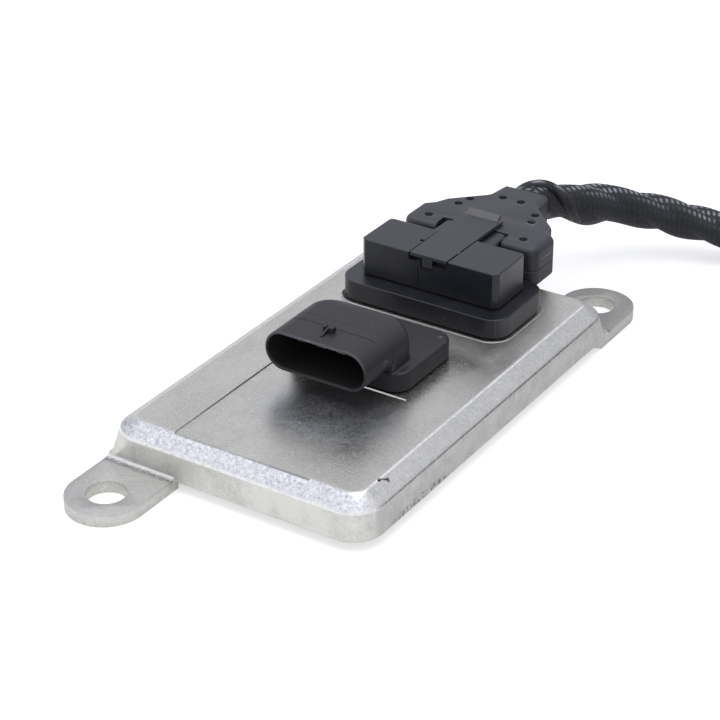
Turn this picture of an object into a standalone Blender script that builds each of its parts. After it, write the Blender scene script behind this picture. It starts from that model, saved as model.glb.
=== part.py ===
"""Nitrogen oxide sensor: a cast control unit, its plug with the back shell, and the lead with the probe.

Units are metres, +Z is up. The origin lies under the middle of the case, on the plane of the ears.
The front of the case, where the vehicle's socket opens, faces -Y.
"""

import math

import bmesh
import bpy
from mathutils import Vector

# Clearance between neighbouring pieces
GAP = 0.0003

# Case
CASE_WIDTH = 0.0630
CASE_LENGTH = 0.1026
CASE_CORNER = 0.0070
CASE_FOOT = 0.0020
SHOULDER_HEIGHT = 0.0088
CASE_TOP = 0.0114
BEVEL_INSET = 0.0038
EDGE_ROUNDING = 0.0005
CASE_WALL = 0.0025
CASE_ROOF = 0.0020
COVER_LIP = 0.0013

# Mounting ears
EAR_THICKNESS = 0.0027
EAR_RADIUS = 0.0086
EAR_REACH = 0.0111
EAR_HOLE = 0.0085
EAR_FILLET = 0.0020

# Label recess on the case's top
RECESS_WIDTH = 0.0328
RECESS_DEPTH = 0.0004

# Base cover, its gasket and its screws
COVER_THICKNESS = 0.0010
COVER_SEAL_THICKNESS = 0.0008
BOSS_SIZE = 0.0064
BOSS_CORNER = 0.0020
BOSS_INSET = 0.0030
SCREW_SHANK = 0.0024
SCREW_LENGTH = 0.0050
SCREW_HEAD = 0.0044
SCREW_HEAD_HEIGHT = 0.0010
SCREW_DRIVE = 0.0020

# Circuit board and what stands on it
BOARD_HEIGHT = 0.0056
BOARD_THICKNESS = 0.0012
POST_RADIUS = 0.0018
POST_X = 0.0225
POST_Y = 0.0145
CHIP_HEIGHT = 0.0020
CONTROLLER_SIZE = 0.0140
CONTROLLER_SETBACK = 0.0213
DRIVER_SIZE = 0.0090
DRIVER_Y = 0.0150
COIL_PART_RADIUS = 0.0034
COIL_PART_HEIGHT = 0.0018
COIL_PART_X = 0.0120
CAPACITOR_RADIUS = 0.0028
CAPACITOR_HEIGHT = 0.0019
CAPACITOR_X = 0.0140
CAPACITOR_SETBACK = 0.0233

# Vehicle header: base block, seal and oval socket
HEADER_WIDTH = 0.0298
HEADER_FRONT = -0.0113
HEADER_BACK = 0.0109
HEADER_CORNER = 0.0040
HEADER_HEIGHT = 0.0044
HEADER_ROUNDING = 0.0006
HEADER_SEAL_WIDTH = 0.0016
HEADER_SEAL_THICKNESS = 0.0007
SPIGOT_DEPTH = 0.0024
SPIGOT_CORNER = 0.0012
SOCKET_WIDTH = 0.0251
SOCKET_HEIGHT = 0.0091
SOCKET_CORNER = 0.0045
SOCKET_RISE = 0.00395
SOCKET_WALL = 0.0007
SOCKET_REACH = 0.0098
SOCKET_DEPTH = 0.0131
SOCKET_STEP = 0.0001
SOCKET_STEP_REACH = 0.0071
SOCKET_FLOOR = 0.0020
SOCKET_BODY_LENGTH = 0.0100
SOCKET_BODY_CORNER = 0.0045
SOCKET_BACK_DROP = 0.0012
NUB_WIDTH = 0.0050
NUB_LENGTH = 0.0026
NUB_HEIGHT = 0.0013
NUB_SETBACK = 0.0041

# Blades of the vehicle header
BLADE_COUNT = 4
BLADE_PITCH = 0.0050
BLADE_WIDTH = 0.0020
BLADE_THICKNESS = 0.0008
BLADE_SETBACK = 0.0060
BLADE_WELL = 0.0032
PIN_TAIL = 0.0007

# Sensor header: the pedestal, its gasket and its pins
PEDESTAL_WIDTH = 0.0422
PEDESTAL_FRONT = 0.0191
PEDESTAL_LENGTH = 0.0215
PEDESTAL_CORNER = 0.0048
PEDESTAL_HEIGHT = 0.0049
PEDESTAL_ROUNDING = 0.0004
PEDESTAL_SEAL_WIDTH = 0.0020
PEDESTAL_SEAL_THICKNESS = 0.0006
SEAL_BULGE = 0.0019
SEAL_BULGE_REACH = 0.0078
WELL_WIDTH = 0.0266
WELL_LENGTH = 0.0094
WELL_FLOOR = 0.0017
PIN_COLUMNS = 4
PIN_ROWS = 2
PIN_PITCH = 0.0040
PIN_SIZE = 0.0006
PIN_REACH = 0.0028
PIN_SPIGOT_WIDTH = 0.0170
PIN_SPIGOT_LENGTH = 0.0084

# Plug: block, neck, contacts and locking strip
PLUG_WIDTH = 0.0350
PLUG_SETBACK = 0.0044
PLUG_LENGTH = 0.0129
PLUG_HEIGHT = 0.0085
PLUG_CHAMFER = 0.0011
PLUG_ROUNDING = 0.0004
CONTACT_WALL = 0.0003
CONTACT_LENGTH = 0.0050
CONTACT_SETBACK = 0.0008
CONTACT_BORE_DEPTH = 0.0068
NECK_WIDTH = 0.0164
NECK_ENGAGEMENT = 0.0038
NECK_ROUNDING = 0.0012
NECK_DROP = 0.0002
PANEL_WIDTH = 0.0074
PANEL_HEIGHT = 0.0050
PANEL_DEPTH = 0.0003
STRIP_FRONT_WIDTH = 0.0094
STRIP_BACK_WIDTH = 0.0100
STRIP_THICKNESS = 0.0008
STRIP_LENGTH = 0.0255
STRIP_SETBACK = 0.0002
STRIP_SIDE_GAP = 0.0005
STRIP_SLOT_WIDTH = 0.0007
STRIP_SLOT_LENGTH = 0.0030
STRIP_SLOT_SPACING = 0.0042
STRIP_SLOT_SETBACK = 0.0010
THUMB_LENGTH = 0.0017
THUMB_RISE = 0.0010

# Back shell: two halves that meet at a seam
SHELL_GAP = 0.0045
SHELL_HEIGHT = 0.0098
SHELL_SEAM_DROP = 0.0059
SHELL_WALL = 0.0016
SHELL_SKIN = 0.0014
SHELL_TOP_ROUNDING = 0.0018
SHELL_FOOT_ROUNDING = 0.0008
SHELL_INSET = 0.0001
SHELL_STRAIGHT = 0.0091
SHELL_NOTCH = 0.0020
SHELL_WAIST = 0.0280
SHELL_WAIST_AT = 0.0142
SHELL_THROAT = 0.0134
SHELL_THROAT_AT = 0.0215
SHELL_END = 0.0118
SHELL_LENGTH = 0.0281
SHELL_FRONT_CORNER = 0.0025
SHELL_SIDE_CORNER = 0.0010
SHELL_THROAT_CORNER = 0.0020
SHELL_END_CORNER = 0.0012
SHELL_HOLE = 0.0018
SHELL_HOLE_DEPTH = 0.0008
SHELL_HOLE_PLACES = ((0.0124, 0.0037), (0.00965, 0.0125), (0.00865, 0.0161), (0.0024, 0.0207))
SHELL_OUTLET = 0.0072

# Lead: radius, the hand-chosen route and the coil
CABLE_RADIUS = 0.0042
CABLE_POINTS = (
    (0.0001, 0.0733, 0.0192),
    (0.0018, 0.0776, 0.0178),
    (0.0057, 0.0851, 0.0156),
    (0.0120, 0.0926, 0.0136),
    (0.0197, 0.0985, 0.0114),
    (0.0284, 0.1029, 0.0091),
    (0.0377, 0.1059, 0.0071),
    (0.0474, 0.1078, 0.0057),
    (0.0573, 0.1088, 0.0048),
    (0.0672, 0.1091, 0.0044),
    (0.0770, 0.1092, 0.0043),
    (0.0790, 0.1092, 0.0043),
)
COIL_CENTRE = (0.1070, 0.0672)
COIL_RADIUS = 0.0420
COIL_LAYERS = 2
TAIL_POINTS = (
    (0.1070, 0.1092, 0.0213),
    (0.1090, 0.1092, 0.0213),
    (0.1280, 0.1036, 0.0213),
    (0.1434, 0.0882, 0.0213),
    (0.1490, 0.0672, 0.0213),
    (0.1490, 0.0552, 0.0213),
    (0.1490, 0.0452, 0.0206),
    (0.1490, 0.0372, 0.0180),
    (0.1490, 0.0300, 0.0145),
    (0.1490, 0.0235, 0.0118),
    (0.1490, 0.0190, 0.0110),
)

# Probe, measured from the cable end of its boot
PROBE_X = 0.1490
PROBE_Y = 0.0162
HEX_FLATS = 0.0220
HEX_HEIGHT = 0.0080
BOOT_LENGTH = 0.0220
BOOT_SMALL_RADIUS = 0.0052
BOOT_LARGE_RADIUS = 0.0080
BOOT_GRIP = 0.0080
BOOT_BORE = 0.0072
SLEEVE_RADIUS = 0.00675
SLEEVE_WALL = 0.0006
SLEEVE_LENGTH = 0.0340
CRIMP_DEPTH = 0.0004
CRIMP_WIDTH = 0.0016
CRIMP_AT = 0.0130
COLLAR_LENGTH = 0.0060
THREAD_RADIUS = 0.0097
THREAD_LENGTH = 0.0120
THREAD_LEAD_IN = 0.0008
BODY_BORE = 0.0046
RING_WIDTH = 0.0009
RING_THICKNESS = 0.0016
CAP_SEAT_DEPTH = 0.0030
OUTER_CAP_RADIUS = 0.0060
OUTER_CAP_LENGTH = 0.0210
INNER_CAP_RADIUS = 0.0043
INNER_CAP_LENGTH = 0.0180
CAP_WALL = 0.0004
CAP_NOSE = 0.0010
CAP_HOLES = 6
OUTER_CAP_HOLE = 0.0022
OUTER_CAP_ROWS = (0.0050, 0.0115)
INNER_CAP_HOLE = 0.0016
INNER_CAP_ROWS = (0.0060,)
CAP_NOSE_HOLE = 0.0024
INSULATOR_LENGTH = 0.0300
ELEMENT_WIDTH = 0.0040
ELEMENT_THICKNESS = 0.0013
ELEMENT_LENGTH = 0.0450
ELEMENT_REACH = 0.0110

# Facets
CORNER_STEPS = 6
ROUND_STEPS = 48
SMALL_ROUND_STEPS = 20
CABLE_SAMPLE = 0.0168

# Cut tools run past the faces they open by this much
PAST = 0.0010

# Heights and places worked out from the sizes above
LEDGE = CASE_FOOT + COVER_THICKNESS + GAP + COVER_SEAL_THICKNESS + GAP
CAVITY_TOP = CASE_TOP - CASE_ROOF
HALF_WIDTH = CASE_WIDTH / 2
HALF_LENGTH = CASE_LENGTH / 2
SEAT = CASE_TOP + GAP
BOARD_TOP = BOARD_HEIGHT + BOARD_THICKNESS
HEADER_TOP = SEAT + HEADER_HEIGHT
SOCKET_Z = HEADER_TOP + SOCKET_RISE
SOCKET_TOP = SOCKET_Z + SOCKET_HEIGHT / 2
SOCKET_MOUTH = HEADER_FRONT - SOCKET_REACH
SOCKET_END = SOCKET_MOUTH + SOCKET_DEPTH
BLADE_WELL_FRONT = SOCKET_END + SOCKET_FLOOR
BLADE_LEG_Y = BLADE_WELL_FRONT + BLADE_WELL / 2
SPIGOT_FOOT = SEAT - SPIGOT_DEPTH - GAP
PEDESTAL_TOP = SEAT + PEDESTAL_HEIGHT
PEDESTAL_Y = PEDESTAL_FRONT + PEDESTAL_LENGTH / 2
PEDESTAL_FLOOR = SEAT + WELL_FLOOR
PLUG_FOOT = PEDESTAL_TOP + GAP
PLUG_TOP = PLUG_FOOT + PLUG_HEIGHT
PLUG_FRONT = PEDESTAL_FRONT + PLUG_SETBACK
PLUG_BACK = PLUG_FRONT + PLUG_LENGTH
PLUG_SPIGOT_FOOT = PEDESTAL_FLOOR + GAP
SHELL_TOP = PLUG_TOP - STRIP_THICKNESS - GAP
SHELL_FOOT = SHELL_TOP - SHELL_HEIGHT
SHELL_SEAM = SHELL_TOP - SHELL_SEAM_DROP
SHELL_FRONT = PLUG_BACK + SHELL_GAP
SHELL_BACK = SHELL_FRONT + SHELL_LENGTH
SHELL_WIDE = PLUG_WIDTH - 2 * SHELL_INSET
CABLE_Z = (SHELL_TOP + SHELL_FOOT) / 2
NECK_BACK = SHELL_FRONT + NECK_ENGAGEMENT
PROBE_Z = HEX_FLATS / 2

# Rotation that stands a piece's local Z along -Y
ALONG_MINUS_Y = (math.pi / 2, 0, 0)


def clear_scene():
    """Remove what the file holds already."""
    for item in list(bpy.data.objects):
        bpy.data.objects.remove(item, do_unlink=True)


def make_material(name, colour, roughness, metallic=0.0):
    """Principled material of one colour."""
    material = bpy.data.materials.new(name)
    material.use_nodes = True
    shader = material.node_tree.nodes["Principled BSDF"]
    shader.inputs["Base Color"].default_value = (*colour, 1.0)
    shader.inputs["Roughness"].default_value = roughness
    shader.inputs["Metallic"].default_value = metallic
    return material


# Outlines are pairs of corner points, anticlockwise, and the radius at each corner


def rectangle(half_x, half_y, radius, x=0.0, y=0.0):
    """Outline of a rectangle with rounded corners."""
    corners = [(x - half_x, y - half_y), (x + half_x, y - half_y), (x + half_x, y + half_y), (x - half_x, y + half_y)]
    return corners, [radius] * 4


def grown(outline, distance):
    """The outline moved outwards by a distance, or inwards by a negative one."""
    corners, radii = outline
    moved = []
    new_radii = []
    for index, corner in enumerate(corners):
        here = Vector(corner)
        arriving = (here - Vector(corners[index - 1])).normalized()
        leaving = (Vector(corners[(index + 1) % len(corners)]) - here).normalized()
        out_before = Vector((arriving.y, -arriving.x))
        out_after = Vector((leaving.y, -leaving.x))
        shift = (out_before + out_after) * distance / (1 + out_before.dot(out_after))
        moved.append(tuple(here + shift))
        turns_left = arriving.x * leaving.y - arriving.y * leaving.x > 0
        radius = radii[index] + distance if turns_left else radii[index] - distance
        new_radii.append(max(radius, 0.00005))
    return moved, new_radii


def outline_points(outline, steps=CORNER_STEPS):
    """Points along an outline, with each corner as an arc."""
    corners, radii = outline
    points = []
    for index, corner in enumerate(corners):
        here = Vector(corner)
        to_before = (Vector(corners[index - 1]) - here).normalized()
        to_after = (Vector(corners[(index + 1) % len(corners)]) - here).normalized()
        half_angle = to_before.angle(to_after) / 2
        radius = radii[index]
        centre = here + (to_before + to_after).normalized() * radius / math.sin(half_angle)
        reach = radius / math.tan(half_angle)
        first = here + to_before * reach - centre
        last = here + to_after * reach - centre
        start = math.atan2(first.y, first.x)
        sweep = (math.atan2(last.y, last.x) - start + math.pi) % (2 * math.pi) - math.pi
        for step in range(steps + 1):
            angle = start + sweep * step / steps
            points.append((centre.x + radius * math.cos(angle), centre.y + radius * math.sin(angle)))
    return points


def finish_mesh(name, bm, material, location=(0, 0, 0), rotation=(0, 0, 0)):
    """Turn a bmesh into a placed, smooth-shaded object."""
    bmesh.ops.remove_doubles(bm, verts=bm.verts, dist=1e-7)
    bmesh.ops.recalc_face_normals(bm, faces=bm.faces)
    mesh = bpy.data.meshes.new(name)
    bm.to_mesh(mesh)
    bm.free()
    mesh.shade_smooth()
    mesh.set_sharp_from_angle(angle=math.radians(35))
    if material is not None:
        mesh.materials.append(material)
    item = bpy.data.objects.new(name, mesh)
    item.location = location
    item.rotation_euler = rotation
    bpy.context.scene.collection.objects.link(item)
    return item


def skin(bm, loops, closed=False):
    """Bridge loops of equal length, and cap the ends unless the loops close on themselves."""
    rings = [[bm.verts.new(point) for point in loop] for loop in loops]
    pairs = list(zip(rings, rings[1:]))
    if closed:
        pairs.append((rings[-1], rings[0]))
    for first, second in pairs:
        for index in range(len(first)):
            after = (index + 1) % len(first)
            bm.faces.new((first[index], first[after], second[after], second[index]))
    if not closed:
        bm.faces.new(reversed(rings[0]))
        bm.faces.new(rings[-1])


def layered(name, layers, material=None, closed=False, steps=CORNER_STEPS, **placing):
    """Solid through a stack of outlines, each with its local height."""
    bm = bmesh.new()
    loops = [[(x, y, z) for x, y in outline_points(outline, steps)] for outline, z in layers]
    skin(bm, loops, closed)
    return finish_mesh(name, bm, material, **placing)


def turned(name, profile, material=None, steps=ROUND_STEPS, **placing):
    """Solid made by turning a closed profile of (radius, height) points about local Z."""
    bm = bmesh.new()
    rings = []
    for radius, height in profile:
        if radius == 0:
            rings.append([bm.verts.new((0, 0, height))] * steps)
            continue
        angles = [2 * math.pi * step / steps for step in range(steps)]
        rings.append([bm.verts.new((radius * math.cos(a), radius * math.sin(a), height)) for a in angles])
    for index, first in enumerate(rings):
        second = rings[(index + 1) % len(rings)]
        for step in range(steps):
            after = (step + 1) % steps
            corners = list(dict.fromkeys((first[step], first[after], second[after], second[step])))
            if len(corners) > 2:
                bm.faces.new(corners)
    return finish_mesh(name, bm, material, **placing)


def add_box(bm, x_span, y_span, z_span):
    """Add a box to a bmesh."""
    corners = [(x_span[0], y_span[0]), (x_span[1], y_span[0]), (x_span[1], y_span[1]), (x_span[0], y_span[1])]
    skin(bm, [[(x, y, z) for x, y in corners] for z in z_span])


def boxes(name, spans, material=None):
    """Object made of boxes, each given by its x, y and z spans."""
    bm = bmesh.new()
    for x_span, y_span, z_span in spans:
        add_box(bm, x_span, y_span, z_span)
    return finish_mesh(name, bm, material)


def drills(name, places, radius, z_span, steps=SMALL_ROUND_STEPS, **placing):
    """Upright cylinders at the given places, to cut holes with."""
    bm = bmesh.new()
    for x, y in places:
        circle = [(x + radius * math.cos(2 * math.pi * k / steps), y + radius * math.sin(2 * math.pi * k / steps))
                  for k in range(steps)]
        skin(bm, [[(px, py, z) for px, py in circle] for z in z_span])
    return finish_mesh(name, bm, None, **placing)


def combine(target, tool, operation):
    """Boolean of a target with a tool, which is then hidden."""
    modifier = target.modifiers.new(tool.name, "BOOLEAN")
    modifier.operation = operation
    modifier.solver = "EXACT"
    modifier.object = tool
    tool.hide_render = True
    tool.display_type = "WIRE"


def cut(target, *tools):
    """Take each tool's volume out of the target."""
    for tool in tools:
        combine(target, tool, "DIFFERENCE")


def fuse(target, *tools):
    """Add each tool's volume to the target."""
    for tool in tools:
        combine(target, tool, "UNION")


def both_signs(x, y):
    """The four places that mirror one place over both axes."""
    return [(-x, -y), (x, -y), (x, y), (-x, y)]


def span(centre, size, grow=0.0):
    """Interval of a size about its centre, widened on both sides."""
    return centre - size / 2 - grow, centre + size / 2 + grow


def quarter(steps=3):
    """Sine and cosine along a quarter turn, for rounded edges."""
    angles = [math.pi / 2 * step / steps for step in range(steps + 1)]
    return [(math.sin(a), math.cos(a)) for a in angles]


# Control unit


def case_outline(distance=0.0):
    """Outline of the case's walls, moved outwards by a distance."""
    return grown(rectangle(HALF_WIDTH, HALF_LENGTH, CASE_CORNER), distance)


def case_shell_layers():
    """Outer form of the case: walls, bevel and rounded edges between them."""
    rise = CASE_TOP - SHOULDER_HEIGHT
    slope = rise / BEVEL_INSET
    return [
        (case_outline(), CASE_FOOT),
        (case_outline(), SHOULDER_HEIGHT - EDGE_ROUNDING),
        (case_outline(-EDGE_ROUNDING / 4), SHOULDER_HEIGHT),
        (case_outline(-EDGE_ROUNDING), SHOULDER_HEIGHT + EDGE_ROUNDING * slope),
        (case_outline(EDGE_ROUNDING / 2 - BEVEL_INSET), CASE_TOP - EDGE_ROUNDING * slope / 2),
        (case_outline(-EDGE_ROUNDING - BEVEL_INSET), CASE_TOP),
    ]


def ear_places():
    """Centres of the two ear holes."""
    x = HALF_WIDTH - EAR_RADIUS
    y = HALF_LENGTH + EAR_REACH
    return [(-x, -y), (x, y)]


def make_ear(number, place):
    """One mounting ear, with the fillet that joins it to the wall."""
    x, y = place
    side = math.copysign(1, y)
    root = side * (HALF_LENGTH - CASE_CORNER)
    end = y + side * EAR_RADIUS
    round_end = EAR_RADIUS - GAP / 10
    corners, _ = rectangle(EAR_RADIUS, abs(end - root) / 2, 0.0, x, (end + root) / 2)
    radii = [round_end, round_end, GAP, GAP] if side < 0 else [GAP, GAP, round_end, round_end]
    ear = layered(f"form_ear_{number}", [((corners, radii), 0.0), ((corners, radii), SHOULDER_HEIGHT)], steps=12)
    beyond = EAR_REACH + 2 * EAR_RADIUS
    layers = [(case_outline(beyond), -PAST), (case_outline(beyond), EAR_THICKNESS)]
    for sine, cosine in quarter(4):
        height = EAR_THICKNESS + EAR_FILLET * (1 - cosine)
        layers.append((case_outline(EAR_FILLET * (1 - sine) + GAP / 10), height))
    flange = layered(f"form_flange_{number}", layers)
    combine(ear, flange, "INTERSECT")
    return ear


def screw_places():
    """Centres of the four cover screws."""
    return both_signs(HALF_WIDTH - CASE_WALL - BOSS_INSET, HALF_LENGTH - CASE_WALL - BOSS_INSET)


def boss_outline(place, clearance=0.0):
    """Outline of a screw boss, which grows out of the case's corner."""
    x, y = place
    half = BOSS_SIZE / 2
    middle = x + math.copysign(GAP, x), y + math.copysign(GAP, y)
    return grown(rectangle(half, half, BOSS_CORNER, *middle), clearance)


def cavity_layers():
    """The space inside the case, which follows the bevel at a constant wall."""
    rise = CASE_TOP - SHOULDER_HEIGHT
    slant = math.hypot(rise, BEVEL_INSET)
    top_inset = BEVEL_INSET + (CASE_WALL * slant - CASE_ROOF * BEVEL_INSET) / rise
    break_height = SHOULDER_HEIGHT - (CASE_WALL * slant - CASE_WALL * rise) / BEVEL_INSET
    return [
        (case_outline(-CASE_WALL), LEDGE - PAST),
        (case_outline(-CASE_WALL), break_height),
        (case_outline(-top_inset), CAVITY_TOP),
    ]


def header_spigot_outline(distance=0.0):
    """Outline of the spigot that carries the blades through the case's top."""
    half_x = BLADE_PITCH * (BLADE_COUNT - 1) / 2 + BLADE_WIDTH / 2 + 2 * GAP + SPIGOT_CORNER
    half_y = BLADE_WELL / 2 + SPIGOT_CORNER
    return grown(rectangle(half_x, half_y, SPIGOT_CORNER, 0.0, BLADE_LEG_Y), distance)


def pin_spigot_outline(distance=0.0):
    """Outline of the spigot that carries the sensor pins through the case's top."""
    return grown(rectangle(PIN_SPIGOT_WIDTH / 2, PIN_SPIGOT_LENGTH / 2, SPIGOT_CORNER, 0.0, PEDESTAL_Y), distance)


def make_housing(metal):
    """Cast case with its ears, hollow from below."""
    housing = layered("housing", case_shell_layers(), metal)
    for number, place in enumerate(ear_places(), 1):
        fuse(housing, make_ear(number, place))
    cavity = layered("cut_cavity", cavity_layers())
    for number, place in enumerate(screw_places(), 1):
        boss = layered(f"form_boss_{number}", [(boss_outline(place), CASE_FOOT), (boss_outline(place), CASE_TOP)])
        cut(cavity, boss)
    cut(cavity, drills("form_posts", both_signs(POST_X, POST_Y), POST_RADIUS, (BOARD_TOP + GAP, CASE_TOP)))
    rebate_layers = [(case_outline(-COVER_LIP), -PAST), (case_outline(-COVER_LIP), LEDGE)]
    rebate = layered("cut_rebate", rebate_layers)
    cut(housing, cavity, rebate)
    cut(housing, drills("cut_ear_holes", ear_places(), EAR_HOLE / 2, (-PAST, EAR_THICKNESS + PAST), steps=40))
    screw_span = (0.0, CASE_FOOT + SCREW_LENGTH + GAP)
    cut(housing, drills("cut_screw_holes", screw_places(), SCREW_SHANK / 2 + GAP, screw_span))
    recess_y = (-HALF_LENGTH - PAST, HEADER_FRONT - GAP)
    recess_z = (CASE_TOP - RECESS_DEPTH, CASE_TOP + PAST)
    cut(housing, boxes("cut_label_recess", [(span(0, RECESS_WIDTH), recess_y, recess_z)]))
    opening = (CAVITY_TOP - PAST, CASE_TOP + PAST)
    cut(housing, layered("cut_header_opening", [(header_spigot_outline(GAP), z) for z in opening]))
    cut(housing, layered("cut_pin_opening", [(pin_spigot_outline(GAP), z) for z in opening]))


def make_base_cover(metal, rubber, steel):
    """Plate that closes the case, its gasket and its screws."""
    outline = case_outline(-COVER_LIP - GAP)
    cover = layered("base_cover", [(outline, CASE_FOOT), (outline, CASE_FOOT + COVER_THICKNESS)], metal)
    cut(cover, drills("cut_cover_holes", screw_places(), SCREW_SHANK / 2 + GAP, (0.0, LEDGE)))
    inner = case_outline(-CASE_WALL)
    foot = CASE_FOOT + COVER_THICKNESS + GAP
    top = foot + COVER_SEAL_THICKNESS
    layered("cover_seal", [(outline, foot), (outline, top), (inner, top), (inner, foot)], rubber, closed=True)
    for number, place in enumerate(screw_places(), 1):
        head_top = CASE_FOOT - GAP
        head_foot = head_top - SCREW_HEAD_HEIGHT
        profile = [
            (0, head_foot + SCREW_HEAD_HEIGHT / 2),
            (SCREW_DRIVE / 2, head_foot + SCREW_HEAD_HEIGHT / 2),
            (SCREW_DRIVE / 2, head_foot),
            (SCREW_HEAD / 2 - GAP, head_foot),
            (SCREW_HEAD / 2, head_foot + GAP),
            (SCREW_HEAD / 2, head_top),
            (SCREW_SHANK / 2, head_top),
            (SCREW_SHANK / 2, head_top + SCREW_LENGTH - GAP),
            (SCREW_SHANK / 2 - GAP, head_top + SCREW_LENGTH),
            (0, head_top + SCREW_LENGTH),
        ]
        turned(f"cover_screw_{number}", profile, steel, steps=SMALL_ROUND_STEPS, location=(*place, 0.0))


def blade_places():
    """Positions of the header's blades along X."""
    return [BLADE_PITCH * (index - (BLADE_COUNT - 1) / 2) for index in range(BLADE_COUNT)]


def pin_places():
    """Places of the sensor pins, column by column."""
    places = []
    for column in range(PIN_COLUMNS):
        for row in range(PIN_ROWS):
            x = PIN_PITCH * (column - (PIN_COLUMNS - 1) / 2)
            y = PEDESTAL_Y + PIN_PITCH * (row - (PIN_ROWS - 1) / 2)
            places.append((x, y))
    return places


def make_board(laminate, epoxy, ferrite, can):
    """Circuit board with its larger parts."""
    outline = case_outline(-CASE_WALL - 2 * GAP)
    board = layered("circuit_board", [(outline, BOARD_HEIGHT), (outline, BOARD_TOP)], laminate)
    for number, place in enumerate(screw_places(), 1):
        clearance = [(boss_outline(place, 2 * GAP), 0.0), (boss_outline(place, 2 * GAP), CASE_TOP)]
        cut(board, layered(f"cut_board_corner_{number}", clearance))
    holes = []
    through = (BOARD_HEIGHT - PAST, BOARD_TOP + PAST)
    for x in blade_places():
        holes.append((span(x, BLADE_WIDTH, GAP), span(BLADE_LEG_Y, BLADE_THICKNESS, GAP), through))
    for x, y in pin_places():
        holes.append((span(x, PIN_SIZE, GAP), span(y, PIN_SIZE, GAP), through))
    cut(board, boxes("cut_board_holes", holes))
    on_top = (BOARD_TOP + GAP, BOARD_TOP + CHIP_HEIGHT)
    controller_y = span(CONTROLLER_SETBACK - HALF_LENGTH, CONTROLLER_SIZE)
    boxes("controller_chip", [(span(0, CONTROLLER_SIZE), controller_y, on_top)], epoxy)
    boxes("driver_chip", [(span(0, DRIVER_SIZE), span(DRIVER_Y, DRIVER_SIZE), on_top)], epoxy)
    below = BOARD_HEIGHT - GAP
    coil_profile = [(0, below), (0, below - COIL_PART_HEIGHT),
                    (COIL_PART_RADIUS, below - COIL_PART_HEIGHT), (COIL_PART_RADIUS, below)]
    turned("power_coil", coil_profile, ferrite, SMALL_ROUND_STEPS, location=(COIL_PART_X, DRIVER_Y, 0))
    can_profile = [(0, below), (0, below - CAPACITOR_HEIGHT),
                   (CAPACITOR_RADIUS, below - CAPACITOR_HEIGHT), (CAPACITOR_RADIUS, below)]
    for number, x in enumerate((-CAPACITOR_X, CAPACITOR_X), 1):
        place = (x, CAPACITOR_SETBACK - HALF_LENGTH, 0)
        turned(f"buffer_capacitor_{number}", can_profile, can, SMALL_ROUND_STEPS, location=place)


# Vehicle header


def socket_outline(distance=0.0):
    """Outline of the oval socket, seen along Y."""
    return grown(rectangle(SOCKET_WIDTH / 2, SOCKET_HEIGHT / 2, SOCKET_CORNER, 0.0, SOCKET_Z), distance)


def body_outline(shrink=0.0, drop=0.0):
    """Outline of the block behind the socket, seen along Y: as wide as the socket, and down to the base."""
    half = SOCKET_WIDTH / 2 + 2 * SOCKET_STEP - shrink
    top = SOCKET_TOP + 2 * SOCKET_STEP - drop
    foot = HEADER_TOP - HEADER_ROUNDING
    corners = [(-half, foot), (half, foot), (half, top), (-half, top)]
    radius = SOCKET_CORNER + 2 * SOCKET_STEP
    return corners, [GAP, GAP, radius, radius]


def make_socket_form():
    """The socket with the rounded block behind it, as one solid along Y."""
    body_front = -HEADER_FRONT - HEADER_ROUNDING
    body_back = -HEADER_FRONT - SOCKET_BODY_LENGTH
    layers = []
    for sine, cosine in reversed(quarter(5)):
        shrink = SOCKET_BODY_CORNER * (1 - cosine)
        drop = SOCKET_BACK_DROP * (1 - cosine)
        depth = SOCKET_BODY_CORNER * (1 - sine)
        layers.append((body_outline(shrink, drop), body_back + depth))
    layers.append((body_outline(), body_front))
    layers.append((socket_outline(SOCKET_STEP), body_front))
    layers.append((socket_outline(SOCKET_STEP), -SOCKET_MOUTH - SOCKET_STEP_REACH))
    layers.append((socket_outline(), -SOCKET_MOUTH - SOCKET_STEP_REACH))
    layers.append((socket_outline(), -SOCKET_MOUTH))
    return layered("form_socket", layers, rotation=ALONG_MINUS_Y)


def make_latch_nub():
    """Wedge on the socket's top that the vehicle's plug snaps behind."""
    front = SOCKET_MOUTH + NUB_SETBACK
    back = front + NUB_LENGTH
    foot = SOCKET_TOP - SOCKET_WALL / 2
    top = SOCKET_TOP + NUB_HEIGHT
    side = [(front, foot), (back, foot), (back, top), (back - NUB_LENGTH / 3, top)]
    bm = bmesh.new()
    half = NUB_WIDTH / 2
    skin(bm, [[(x, y, z) for y, z in side] for x in (-half, half)])
    nub = finish_mesh("form_nub", bm, None)
    notch = (span(0, NUB_WIDTH / 5), (front - PAST, back - NUB_LENGTH / 4), (SOCKET_TOP + GAP, top + PAST))
    cut(nub, boxes("cut_nub_notch", [notch]))
    return nub


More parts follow.
